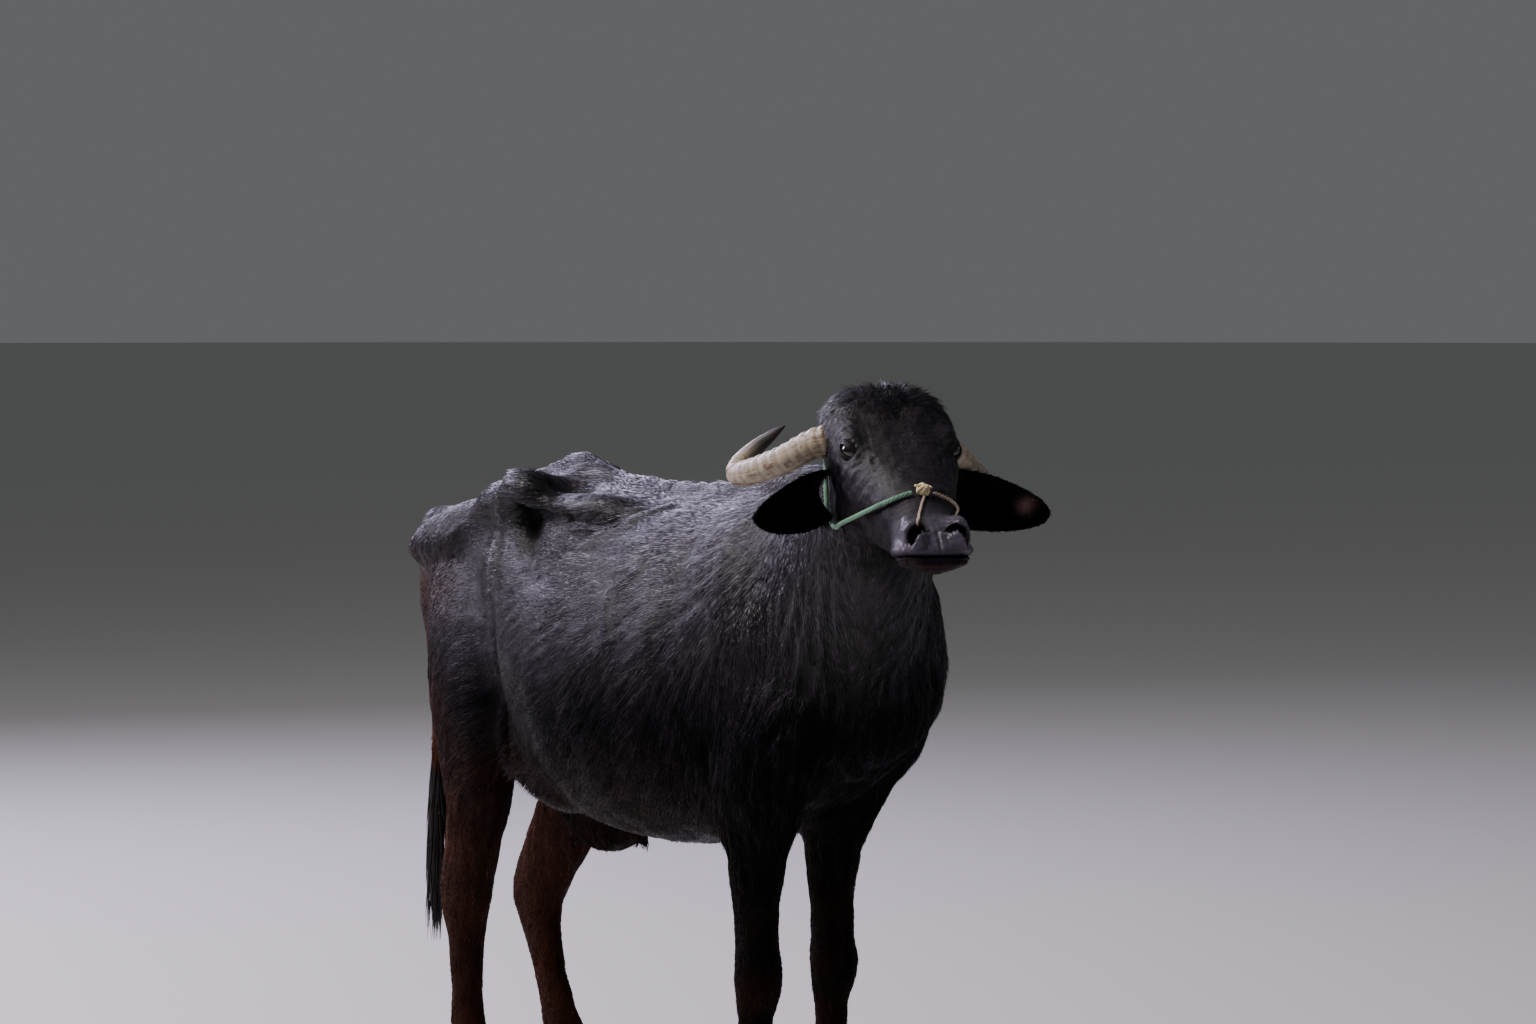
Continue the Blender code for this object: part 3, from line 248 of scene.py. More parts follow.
def read_points(mesh):
    values = np.empty(len(mesh.vertices) * 3)
    mesh.vertices.foreach_get("co", values)
    return values.reshape(-1, 3)


def read_normals(mesh):
    values = np.empty(len(mesh.vertices) * 3)
    mesh.vertex_normals.foreach_get("vector", values)
    return values.reshape(-1, 3)


def write_points(mesh, points):
    mesh.vertices.foreach_set("co", points.ravel())
    mesh.update()


def eased(mesh, passes, weights=1.0):
    """Rounds a mesh's facets in pairs of passes that together keep its size."""
    points = read_points(mesh)
    edges = np.empty(len(mesh.edges) * 2, dtype=int)
    mesh.edges.foreach_get("vertices", edges)
    edges = edges.reshape(-1, 2)
    count = len(points)
    degree = np.maximum(np.bincount(edges.ravel(), minlength=count), 1)[:, None]
    weights = np.broadcast_to(np.asarray(weights, dtype=float).reshape(-1, 1), (count, 1))
    for step in range(2 * passes):
        factor = 0.50 if step % 2 == 0 else -0.515
        total = np.stack([np.bincount(edges[:, 0], points[edges[:, 1], axis], count)
                          + np.bincount(edges[:, 1], points[edges[:, 0], axis], count)
                          for axis in range(3)], axis=1)
        points = points + factor * weights * (total / degree - points)
    write_points(mesh, points)


def evened(mesh, values, passes):
    """Vectors of a mesh's points, each pass averaged with those of their neighbours."""
    ends = np.empty(len(mesh.edges) * 2, dtype=np.int64)
    mesh.edges.foreach_get("vertices", ends)
    ends = ends.reshape(-1, 2)
    count = np.bincount(ends.ravel(), minlength=len(values))[:, None] + 1.0
    for _ in range(passes):
        total = values.copy()
        for axis in range(3):
            total[:, axis] += np.bincount(ends[:, 0], values[ends[:, 1], axis], len(values))
            total[:, axis] += np.bincount(ends[:, 1], values[ends[:, 0], axis], len(values))
        values = total / count
    return values / np.maximum(np.linalg.norm(values, axis=1), 1e-6)[:, None]


def smooth_step(values, low, high):
    t = np.clip((values - low) / (high - low), 0.0, 1.0)
    return t * t * (3.0 - 2.0 * t)


def waves(points, size, seed, count=14):
    """Soft uneven noise between about -1 and 1, with lumps of the given size."""
    draw = np.random.default_rng(seed)
    total = np.zeros(len(points))
    for _ in range(count):
        way = draw.normal(size=3)
        way *= draw.uniform(0.6, 1.5) * math.pi / (size * np.linalg.norm(way))
        total += np.sin(points @ way + draw.uniform(0, 2 * math.pi))
    return total / math.sqrt(count / 2) / 1.6


def near_path(points, path):
    """Distance of each point from a line through the given places."""
    best = np.full(len(points), 9.0)
    path = [np.array(item, dtype=float) for item in path]
    for start, end in zip(path, path[1:]):
        way = end - start
        share = np.clip((points - start) @ way / max(way @ way, 1e-12), 0.0, 1.0)
        best = np.minimum(best, np.linalg.norm(points - start - share[:, None] * way, axis=1))
    return best


def swell(points, centre, sizes, along=(1.0, 0.0, 0.0)):
    """Share, 1 at the centre to 0 outside, of a soft ellipsoid."""
    first = Vector(along).normalized()
    side = UP.cross(first).normalized() if abs(first.z) < 0.95 else Vector((0.0, 1.0, 0.0))
    axes = np.array((first, side, first.cross(side)))
    local = (points - np.array(centre)) @ axes.T / np.array(sizes)
    return np.exp(-1.6 * (local ** 2).sum(axis=1))


def head_places(points):
    """Each point's forward, left and up distance from midway between the eyes."""
    local = points - np.array(EYES)
    return local @ np.array(HEAD_FORWARD), local @ np.array(HEAD_LEFT), local[:, 2]


def add_node(tree, kind, inputs=None, **settings):
    """Adds a node with its settings; each input gets a value or a link from a socket."""
    item = tree.nodes.new(kind)
    for key, value in settings.items():
        setattr(item, key, value)
    for key, value in (inputs or {}).items():
        if isinstance(value, bpy.types.NodeSocket):
            tree.links.new(value, item.inputs[key])
        else:
            item.inputs[key].default_value = value
    return item


def new_material(name, roughness, ior=1.45, **sockets):
    """A Principled material; returns it with its tree and shader."""
    material = bpy.data.materials.new(name)
    material.use_nodes = True
    tree = material.node_tree
    shader = tree.nodes["Principled BSDF"]
    shader.inputs["Roughness"].default_value = roughness
    shader.inputs["IOR"].default_value = ior
    for key, value in sockets.items():
        shader.inputs[key.replace("_", " ")].default_value = value
    return material, tree, shader


def set_attribute(mesh, name, kind, values):
    layer = mesh.attributes.get(name) or mesh.attributes.new(name, kind, "POINT")
    key = {"FLOAT": "value", "FLOAT_VECTOR": "vector", "FLOAT_COLOR": "color"}[kind]
    layer.data.foreach_set(key, np.ascontiguousarray(values, dtype=np.float32).ravel())


# Hide: thin dark skin, tanned look of a real coat with short flat hair. Semi-gloss with a cool sheen
def hide_material():
    material, tree, shader = new_material("buffalo_hide", 0.50, 1.45)
    shine = add_node(tree, "ShaderNodeAttribute", attribute_name="shine")
    tree.links.new(shine.outputs["Fac"], shader.inputs["Specular IOR Level"])
    tone = add_node(tree, "ShaderNodeAttribute", attribute_name="tone")
    spots = add_node(tree, "ShaderNodeTexCoord")
    # pores and short hair, about 2 mm apart, drawn a little coarse so that they show
    grain = add_node(tree, "ShaderNodeTexNoise", {"Vector": spots.outputs["Object"], "Scale": 420.0,
                                                  "Detail": 3.0, "Roughness": 0.6})
    blotch = add_node(tree, "ShaderNodeTexNoise", {"Vector": spots.outputs["Object"], "Scale": 9.0,
                                                   "Detail": 5.0, "Roughness": 0.6})
    shade = add_node(tree, "ShaderNodeMapRange", {"Value": blotch.outputs["Fac"], "From Min": 0.3,
                                                  "From Max": 0.7, "To Min": 0.72, "To Max": 1.25})
    mixed = add_node(tree, "ShaderNodeVectorMath", {0: tone.outputs["Color"],
                                                    "Scale": shade.outputs["Result"]}, operation="SCALE")
    tree.links.new(mixed.outputs["Vector"], shader.inputs["Base Color"])
    rough = add_node(tree, "ShaderNodeAttribute", attribute_name="dull")
    gloss = add_node(tree, "ShaderNodeMapRange", {"Value": grain.outputs["Fac"], "To Min": -0.08,
                                                  "To Max": 0.10})
    total = add_node(tree, "ShaderNodeMath", {0: rough.outputs["Fac"], 1: gloss.outputs["Result"]},
                     operation="ADD")
    tree.links.new(total.outputs["Value"], shader.inputs["Roughness"])
    bump = add_node(tree, "ShaderNodeBump", {"Strength": 0.45, "Distance": 0.0012,
                                             "Height": grain.outputs["Fac"]})
    tree.links.new(bump.outputs["Normal"], shader.inputs["Normal"])
    return material


# Coat hair: coarse round hair with a waxy shine along its length
def hair_material():
    material, tree, shader = new_material("buffalo_hair", 0.42, 1.50)
    tone = add_node(tree, "ShaderNodeAttribute", attribute_name="tone")
    spots = add_node(tree, "ShaderNodeTexCoord")
    # bunches of hair about 6 mm across are lighter and darker
    strand = add_node(tree, "ShaderNodeTexNoise", {"Vector": spots.outputs["Object"], "Scale": 90.0,
                                                   "Detail": 2.0, "Roughness": 0.6})
    shade = add_node(tree, "ShaderNodeMapRange", {"Value": strand.outputs["Fac"], "From Min": 0.3,
                                                  "From Max": 0.7, "To Min": 0.80, "To Max": 1.25})
    mixed = add_node(tree, "ShaderNodeVectorMath", {0: tone.outputs["Color"],
                                                    "Scale": shade.outputs["Result"]}, operation="SCALE")
    tree.links.new(mixed.outputs["Vector"], shader.inputs["Base Color"])
    gloss = add_node(tree, "ShaderNodeMapRange", {"Value": strand.outputs["Fac"], "To Min": 0.27,
                                                  "To Max": 0.43})
    tree.links.new(gloss.outputs["Result"], shader.inputs["Roughness"])
    shine = add_node(tree, "ShaderNodeAttribute", attribute_name="shine")
    tree.links.new(shine.outputs["Fac"], shader.inputs["Specular IOR Level"])
    return material


MOUTH_HEIGHTS = ((0.08, -0.198), (0.12, -0.192), (0.16, -0.185), (0.21, -0.177), (0.26, -0.172),
                 (0.34, -0.171))


def mouth_height(forward):
    """Height of the line of the mouth for each place along the head."""
    return np.interp(forward, *zip(*MOUTH_HEIGHTS))


def ear_places(points, name):
    """Places on an ear: share that belongs to it, from root to tip, and across from the middle."""
    root, along, facing = ear_frame(name)
    across = facing.cross(along).normalized()
    local = points - np.array(root)
    t = local @ np.array(along) / EAR_LENGTH
    s = local @ np.array(across) / (EAR_BREADTH / 2)
    share = smooth_step(t, 0.08, 0.20) * (np.abs(s) < 1.4) * (np.abs(local @ np.array(facing)) < 0.07)
    return share, t, s


def hide_tone(points, normals, settings):
    """Colour of the hide at each point: black, with a purple-grey painted sheen on the upper sides and painted
    shade on the lower body, browner on rump and legs, a lighter face, and painted shade in the mouth's line, the
    nostrils, the ears' cups and round the eyes.
    """
    black, cool, brown, slate, rose = (np.array(item) for item in (
        settings.black, settings.cool, settings.brown, settings.slate, settings.rose))
    p = points - np.array(SHIFT)
    forward, left, up = head_places(points)
    tone = np.tile(black, (len(points), 1))

    def blend(shade, share):
        nonlocal tone
        tone = tone + (shade - tone) * np.clip(share, 0.0, 1.0)[:, None]

    # painted sheen: purple-grey that lightens the upper sides unevenly, more towards the top
    painted_sheen = 0.55 + 0.30 * waves(points, 0.16, 3) + 0.20 * waves(points, 0.05, 4)
    blend(cool, painted_sheen * smooth_step(p[:, 2], 0.60, 1.05) * 0.9)
    rear = smooth_step(-p[:, 0], 0.56, 0.80) * smooth_step(p[:, 2], 0.30, 0.65)
    rear = rear * smooth_step(1.20 - p[:, 2], 0.0, 0.20)
    belly = smooth_step(0.86 - p[:, 2], 0.0, 0.22) * smooth_step(0.35 - p[:, 0], 0.0, 0.25)
    painted_shade_low = smooth_step(1.04 - p[:, 2], 0.0, 0.24)
    warm = (1.05 * rear + 0.65 * belly) * (0.70 + 0.35 * waves(points, 0.09, 5))
    blend(brown, warm)
    blend(brown, 0.45 * smooth_step(0.60 - p[:, 2], 0.0, 0.2) * (0.6 + 0.5 * waves(points, 0.07, 6)))
    # painted shade: the lower body made darker towards the bottom, fading out towards the rear
    tone = tone * (1.0 - 0.60 * painted_shade_low * smooth_step(0.95 + p[:, 0], 0.15, 0.50))[:, None]
    # lighter brown-grey face tone; its lighter middle of the forehead is partly a painted highlight
    face = smooth_step(forward, -0.06, 0.06)
    brow = swell(points, head_point(0.03, 0.0, 0.02), (0.09, 0.05, 0.05), HEAD_AXIS)
    blend(cool * np.array((1.12, 0.98, 0.95)), face * (0.45 + 0.3 * waves(points, 0.05, 7)) + 0.5 * brow)
    line = mouth_height(forward)
    muzzle = smooth_step(forward + 0.30 * (up + 0.12), 0.196, 0.236) * smooth_step(up - line, -0.002, 0.010)
    blend(slate, 0.92 * muzzle)
    chin = smooth_step(forward, 0.12, 0.18) * smooth_step(line - up, 0.004, 0.016)
    blend(brown * 0.7, 0.45 * chin)
    # painted shade: a dark line along the crease of the mouth
    lips = np.exp(-((up - line) / 0.0040) ** 2) * smooth_step(forward, 0.09, 0.13)
    tone = tone * (1.0 - 0.80 * lips)[:, None]
    for name, sign in SIDES.items():
        # painted shade: the nostrils made dark inside
        pit = nostril_measure(points, sign)
        blend(black * 0.3, smooth_step(1.12 - pit, 0.0, 0.20))
        share, t, s = ear_places(points, name)
        # painted shade: the inside of each ear's cup made dark; the rose patch below is bare skin
        inside = (normals @ np.array(ear_frame(name)[2]) > 0.2)
        blend(black * 0.35, 0.95 * share * inside)
        if name == "left":
            patch = np.exp(-((t - 0.80) / 0.06) ** 2 - ((s - 0.15) / 0.25) ** 2)
            blend(rose, 0.8 * share * inside * patch)
        # dark skin round the eye, deepened by painted shade in its socket
        gap = np.linalg.norm(points - np.array(head_point(0.0, EYE_SIDE * sign, 0.0)), axis=1)
        blend(black * 0.6, 0.75 * smooth_step(EYE_RADIUS + 0.016 - gap, 0.0, 0.010))
    return np.clip(tone, 0.0, 1.0)


def hide_dullness(points):
    """Roughness of the hide: wet and glossy on the muzzle, dusty on the legs."""
    forward, _, up = head_places(points)
    z = points[:, 2]
    dull = 0.50 + 0.06 * waves(points, 0.08, 8) + 0.10 * smooth_step(0.5 - z, 0.0, 0.4)
    muzzle = smooth_step(forward, 0.19, 0.24) * smooth_step(up - mouth_height(forward), -0.004, 0.008)
    return np.clip(dull - 0.15 * muzzle, 0.2, 0.9)


def coat_shine(points, normals):
    """How glossy the hair is: sleek on back and sides, dull below, on the legs and in the ears."""
    p = points - np.array(SHIFT)
    forward, _, up = head_places(points)
    low = smooth_step(1.06 - p[:, 2], 0.0, 0.22) * smooth_step(0.60 - forward, 0.0, 0.1)
    shine = 0.30 * (1.0 - 0.88 * low)
    face = smooth_step(forward, -0.20, -0.06)
    cheek = smooth_step(-0.055 - up, 0.0, 0.05) * smooth_step(0.19 - forward, 0.0, 0.04)
    shine = shine * (1 - face) + 0.30 * (1.0 - 0.75 * cheek) * face
    shine = shine * (1.0 - 0.8 * smooth_step(mouth_height(forward) - up, -0.03, 0.0) * face)
    for name in SIDES:
        shine = shine * (1.0 - 0.9 * ear_places(points, name)[0])
    return np.clip(shine, 0.0, 1.0)


def paint_hide(mesh, settings):
    points, normals = read_points(mesh), read_normals(mesh)
    tone = hide_tone(points, normals, settings)
    set_attribute(mesh, "tone", "FLOAT_COLOR", np.hstack([tone, np.ones((len(points), 1))]))
    set_attribute(mesh, "dull", "FLOAT", hide_dullness(points))
    forward, _, up = head_places(points)
    muzzle = smooth_step(forward, 0.19, 0.24) * smooth_step(up - mouth_height(forward), -0.004, 0.008)
    shine = coat_shine(points, normals) * 0.7
    set_attribute(mesh, "shine", "FLOAT", shine + (0.75 - shine) * muzzle)


# Swellings and hollows of the body that the frame's facets leave out: place, size, way and height
BODY_FORMS = [
    # hook bone, the hollows of the flank in front of and below it, and the swelling of the barrel
    ((-0.405, 0.185, 1.262), (0.060, 0.040, 0.034), (1.0, 0.0, 0.1), 0.004),
    ((-0.355, 0.215, 1.175), (0.060, 0.070, 0.055), (1.0, 0.0, -0.8), -0.010),
    ((-0.255, 0.255, 1.120), (0.085, 0.080, 0.060), (1.0, 0.0, -0.7), -0.010),
    ((-0.090, 0.270, 1.030), (0.160, 0.090, 0.120), (1.0, 0.0, 0.0), 0.005),
    # rump: hollow behind the hook, muscle of the thigh, hollow above its rear edge
    ((-0.540, 0.170, 1.160), (0.075, 0.080, 0.045), (1.0, 0.0, 0.5), -0.009),
    ((-0.700, 0.165, 1.105), (0.085, 0.080, 0.110), (1.0, 0.0, 0.0), 0.006),
    ((-0.673, 0.200, 1.139), (0.075, 0.070, 0.055), (1.0, 0.0, 0.0), 0.008),
    ((-0.870, 0.120, 1.105), (0.045, 0.070, 0.055), (1.0, 0.0, 0.0), -0.008),
    ((-0.775, 0.160, 0.930), (0.030, 0.080, 0.180), (1.0, 0.0, 0.2), -0.006),
    ((-0.540, 0.225, 0.930), (0.075, 0.090, 0.160), (1.0, 0.0, 0.1), 0.007),
    # shoulder: blade, its two hollows, upper arm and the point of the shoulder
    ((0.180, 0.220, 1.110), (0.045, 0.100, 0.190), (1.0, 0.0, 0.35), -0.008),
    ((0.300, 0.200, 1.110), (0.030, 0.100, 0.170), (1.0, 0.0, 0.35), 0.007),
    ((0.395, 0.180, 1.100), (0.028, 0.100, 0.150), (1.0, 0.0, 0.35), -0.006),
    ((0.350, 0.200, 0.830), (0.085, 0.090, 0.110), (1.0, 0.0, 0.4), 0.009),
    ((0.380, 0.207, 0.730), (0.040, 0.060, 0.050), (1.0, 0.0, 1.0), 0.006),
    ((0.455, 0.150, 0.800), (0.035, 0.090, 0.100), (1.0, 0.0, 0.4), -0.008),
    ((0.520, 0.100, 0.930), (0.060, 0.070, 0.090), (1.0, 0.0, 0.2), 0.007),
    ((0.144, 0.250, 1.020), (0.030, 0.060, 0.080), (1.0, 0.0, -0.3), 0.005),
]
# Folds of the hide: path on one side, width, and depth below 0 or height above it
BODY_FOLDS = [
    # crease in front of the thigh and the thigh's edge behind it
    (((-0.478, 0.194, 1.180), (-0.440, 0.222, 1.120), (-0.424, 0.235, 1.045), (-0.424, 0.235, 0.966),
      (-0.432, 0.222, 0.884), (-0.435, 0.214, 0.807), (-0.428, 0.213, 0.735)), 0.0080, -0.0170),
    (((-0.468, 0.215, 1.120), (-0.450, 0.235, 1.045), (-0.450, 0.235, 0.966), (-0.458, 0.225, 0.884),
      (-0.461, 0.214, 0.780)), 0.0140, 0.0060),
    # valley below the hook bone, down and forward into the flank
    (((-0.375, 0.200, 1.258), (-0.388, 0.186, 1.219), (-0.372, 0.182, 1.172), (-0.322, 0.208, 1.128),
      (-0.285, 0.230, 1.090)), 0.0170, -0.0190),
    (((-0.375, 0.200, 1.258), (-0.388, 0.186, 1.219), (-0.372, 0.182, 1.172)), 0.0140, -0.0080),
    # shelf of the loin's cross bones, the groove under it and the hollow above it
    (((-0.352, 0.190, 1.234), (-0.283, 0.178, 1.231), (-0.210, 0.168, 1.225), (-0.153, 0.145, 1.219),
      (-0.103, 0.111, 1.224)), 0.0110, 0.0100),
    (((-0.350, 0.165, 1.212), (-0.261, 0.169, 1.204), (-0.178, 0.165, 1.198), (-0.112, 0.151, 1.202)),
     0.0130, -0.0140),
    (((-0.352, 0.152, 1.266), (-0.361, 0.105, 1.257), (-0.331, 0.078, 1.252)), 0.0140, -0.0080),
    # last rib and a rib further forward
    (((-0.254, 0.263, 1.049), (-0.243, 0.231, 1.095), (-0.176, 0.220, 1.138), (-0.143, 0.186, 1.171),
      (-0.106, 0.155, 1.198), (-0.040, 0.086, 1.232)), 0.0140, 0.0075),
    (((0.040, 0.282, 0.993), (0.018, 0.266, 1.048), (0.015, 0.245, 1.084), (0.057, 0.216, 1.123)),
     0.0150, 0.0055),
    # ridges of the hip bone
    (((-0.425, 0.190, 1.290), (-0.440, 0.205, 1.250), (-0.458, 0.202, 1.215), (-0.470, 0.198, 1.185)),
     0.0160, 0.0080),
    (((-0.533, 0.198, 1.218), (-0.596, 0.185, 1.198), (-0.626, 0.190, 1.179), (-0.652, 0.197, 1.158)),
     0.0120, 0.0055),
    # shoulder
    (((0.383, 0.199, 1.008), (0.398, 0.176, 1.082)), 0.0200, 0.0050),
    # fold behind the elbow
    (((0.252, 0.190, 0.630), (0.258, 0.205, 0.700), (0.262, 0.215, 0.790), (0.285, 0.210, 0.870)),
     0.0090, -0.0110),
    (((0.228, 0.190, 0.640), (0.232, 0.205, 0.700), (0.238, 0.220, 0.780)), 0.0110, 0.0050),
]
RIB_COUNT = 7
RIB_FIRST = -0.140
RIB_STEP = 0.058


def fold_gaps(points):
    """Distance of each point from each fold's path."""
    p = points - np.array(SHIFT)
    sided = np.stack([p[:, 0], np.abs(p[:, 1]), p[:, 2]], axis=1)
    return [near_path(sided, path) for path, _, _ in BODY_FOLDS]


def refine_folds(mesh, reach):
    """Splits the faces near the folds once more."""
    near = np.min(fold_gaps(read_points(mesh)), axis=0) < reach
    shape = bmesh.new()
    shape.from_mesh(mesh)
    edges = [edge for edge in shape.edges if near[edge.verts[0].index] and near[edge.verts[1].index]]
    bmesh.ops.subdivide_edges(shape, edges=edges, cuts=1, use_grid_fill=True)
    shape.to_mesh(mesh)
    shape.free()
    mesh.update()


def body_forms(points):
    """Height of the body's muscles, hollows, ribs and folds at each point."""
    p = points - np.array(SHIFT)
    sided = np.stack([p[:, 0], np.abs(p[:, 1]), p[:, 2]], axis=1)
    height = np.zeros(len(points))
    for centre, sizes, way, rise in BODY_FORMS:
        height += rise * swell(sided, centre, sizes, way)
    # ribs slope down and back over the barrel
    along = sided[:, 0] + 0.42 * (sided[:, 2] - 1.0)
    reach = smooth_step(sided[:, 2], 0.72, 0.95) * smooth_step(1.20 - sided[:, 2], 0.0, 0.12)
    for index in range(RIB_COUNT):
        middle = RIB_FIRST + RIB_STEP * index
        band = np.exp(-((along - middle) / 0.018) ** 2) - 0.5 * np.exp(-((along - middle - 0.029) / 0.012) ** 2)
        faint = 0.5 + 0.5 * waves(points, 0.20, 60 + index)
        height += 0.0015 * faint * band * reach * smooth_step(sided[:, 1], 0.12, 0.22)
    # knobs of the spine
    spine = np.exp(-(p[:, 1] / 0.028) ** 2) * smooth_step(p[:, 2], 1.18, 1.24)
    spine *= smooth_step(0.30 - p[:, 0], 0.0, 0.15) * (0.5 + 0.5 * waves(points, 0.09, 24))
    height += 0.0022 * np.sin(p[:, 0] * 2 * math.pi / 0.058 + waves(points, 0.1, 25)) * spine
    for gap, (_, width, rise) in zip(fold_gaps(points), BODY_FOLDS):
        height += rise * np.exp(-(gap / width) ** 2)
    # folds of the neck and throat
    neck = smooth_step(p[:, 0], 0.40, 0.52) * smooth_step(0.92 - p[:, 0], 0.0, 0.10)
    across = (p[:, 0] - 0.5) * 0.85 - (p[:, 2] - 1.05) * 0.50
    folds = np.sin(across * 2 * math.pi / 0.046 + 1.4 * waves(points, 0.14, 21))
    height += 0.0030 * folds * neck * smooth_step(1.26 - p[:, 2], 0.0, 0.25)
    height += 0.0005 * waves(points, 0.035, 22) + 0.0003 * waves(points, 0.016, 23)
    return height


def coat_depth(points, settings):
    """How deep the skin lies under the frame's surface, by the length of the coat there."""
    forward, left, up = head_places(points)
    p = points - np.array(SHIFT)
    face = smooth_step(forward, -0.16, 0.02)
    depth = settings.coat_depth * (1.0 - face) + settings.face_depth * face
    crown = swell(points, head_point(-0.115, 0.0, 0.085), (0.095, 0.085, 0.060), HEAD_AXIS)
    depth = depth + settings.crown_depth * crown
    low = smooth_step(0.55 - p[:, 2], 0.0, 0.15)
    return depth * (1.0 - 0.5 * low)


def close_at(mesh, point, look, tongue=0.0):
    """Cuts a mesh at a plane and fills the cut; a tongue is a sunken collar past the plane."""
    shape = bmesh.new()
    shape.from_mesh(mesh)
    everything = shape.verts[:] + shape.edges[:] + shape.faces[:]
    cut = bmesh.ops.bisect_plane(shape, geom=everything, plane_co=point, plane_no=look,
                                 clear_outer=True)
    rim = [item for item in cut["geom_cut"] if isinstance(item, bmesh.types.BMEdge)]
    if tongue:
        middle = sum((edge.verts[0].co for edge in rim), Vector()) / len(rim)
        made = bmesh.ops.extrude_edge_only(shape, edges=rim)["geom"]
        for vert in (item for item in made if isinstance(item, bmesh.types.BMVert)):
            vert.co += look * tongue + (middle - vert.co) * 0.06
        rim = [item for item in made if isinstance(item, bmesh.types.BMEdge)
               and all(vert in made for vert in item.verts)]
    bmesh.ops.edgenet_fill(shape, edges=[edge for edge in rim if edge.is_boundary])
    bmesh.ops.recalc_face_normals(shape, faces=shape.faces)
    shape.to_mesh(mesh)
    shape.free()


def make_body_hide(settings):
    """The skin of the neck, trunk, legs, udder and tail."""
    names = ("torso", "neck", "head", "udder", "tail") + LEGS
    body = joined("hide_body", [merged_copy(name, settings.overlap) for name in names])
    remesh(body, settings.body_grid)
    points = read_points(body.data)
    low = smooth_step(0.62 - points[:, 2], 0.0, 0.10)
    eased(body.data, 26, 1.0 - 0.75 * low)
    refine_folds(body.data, settings.fold_reach)
    eased(body.data, 2)
    points, normals = read_points(body.data), read_normals(body.data)
    lift = body_forms(points) - coat_depth(points, settings) - settings.overlap
    write_points(body.data, points + normals * lift[:, None])
    eased(body.data, 1)
    return body


EAR_ROOT = (-0.125, 0.090, -0.080)
EAR_LENGTH = 0.232
EAR_BREADTH = 0.111
EAR_WIDEST = 0.50
EAR_TIP_POWER = 1.9
EAR_CUP = 0.034
EAR_SWING = {"right": 41.0, "left": -8.0}
EAR_DROOP = {"right": 9.0, "left": 11.0}
EAR_ROWS = 44
EAR_COLUMNS = 28


def ear_frame(name):
    """An ear's root, its way to the tip and the way its cup faces."""
    sign = SIDES[name]
    swing, droop = math.radians(EAR_SWING[name]), math.radians(EAR_DROOP[name])
    level = HEAD_LEFT * (sign * math.cos(swing)) + HEAD_FORWARD * math.sin(swing)
    along = level * math.cos(droop) - UP * math.sin(droop)
    facing = (HEAD_FORWARD * math.cos(swing) - HEAD_LEFT * (sign * math.sin(swing))
              + UP * -0.12).normalized()
    return head_point(EAR_ROOT[0], EAR_ROOT[1] * sign, EAR_ROOT[2]), along, facing


def ear_half_width(t):
    spread = math.sin(math.pi * min(1.0, t / EAR_WIDEST) / 2)
    return EAR_BREADTH / 2 * (0.76 + 0.24 * spread) * math.sqrt(max(0.0, 1.0 - t ** EAR_TIP_POWER)) + 0.001


def ear_mesh(name, thickness):
    """The cupped leaf of an ear, with soft ribs along its inside."""
    root, along, facing = ear_frame(name)
    across = facing.cross(along).normalized()
    shape = bmesh.new()
    rows = []
    for step in range(EAR_ROWS + 1):
        t = step / EAR_ROWS
        half = ear_half_width(t)
        cup = EAR_CUP * (1.0 - 0.72 * t)
        row = []
        for column in range(EAR_COLUMNS + 1):
            s = 2.0 * column / EAR_COLUMNS - 1.0
            rib = 0.0012 * math.cos(9.0 * s) * math.sin(math.pi * t)
            curl = 0.006 * max(0.0, abs(s) - 0.75) * 4 * math.sin(math.pi * t)
            point = root + along * (EAR_LENGTH * t) + across * (half * s)
            row.append(shape.verts.new(point + facing * (rib + curl - cup * (1.0 - s * s))))
        rows.append(row)
    for low, high in zip(rows, rows[1:]):
        for column in range(EAR_COLUMNS):
            shape.faces.new((low[column], low[column + 1], high[column + 1], high[column]))
    ear = new_object("ear", mesh_from_bmesh("ear", shape))
    shell = ear.modifiers.new("shell", "SOLIDIFY")
    shell.thickness = thickness
    shell.offset = 0.0
    settled(ear)
    mesh = ear.data.copy()
    drop(ear)
    return mesh


NOSTRIL = (0.266, 0.0425, -0.1345)
NOSTRIL_LOOK = math.radians(50.0)    # how far a nostril looks aside
NOSTRIL_SIZE = (0.030, 0.0125, 0.0175)


def nostril_axes(sign):
    """The way a nostril looks, the way across it and its upward way."""
    look = HEAD_AXIS * math.cos(NOSTRIL_LOOK) + HEAD_LEFT * (sign * math.sin(NOSTRIL_LOOK))
    up = (HEAD_UP - look * HEAD_UP.dot(look)).normalized()
    return look.normalized(), up.cross(look).normalized(), up


def nostril_measure(points, sign):
    """Distance from a nostril's middle line, 1 at its rim."""
    centre = head_point(NOSTRIL[0], NOSTRIL[1] * sign, NOSTRIL[2])
    look, across, up = nostril_axes(sign)
    local = points - np.array(centre)
    flat = np.hypot(local @ np.array(across) / NOSTRIL_SIZE[1], local @ np.array(up) / NOSTRIL_SIZE[2])
    return np.maximum(flat, np.abs(local @ np.array(look)) / NOSTRIL_SIZE[0])


def nostril_cutter(sign):
    centre = head_point(NOSTRIL[0], NOSTRIL[1] * sign, NOSTRIL[2])
    look, _, up = nostril_axes(sign)
    return ball("nostril", centre, look, up, NOSTRIL_SIZE, 32)


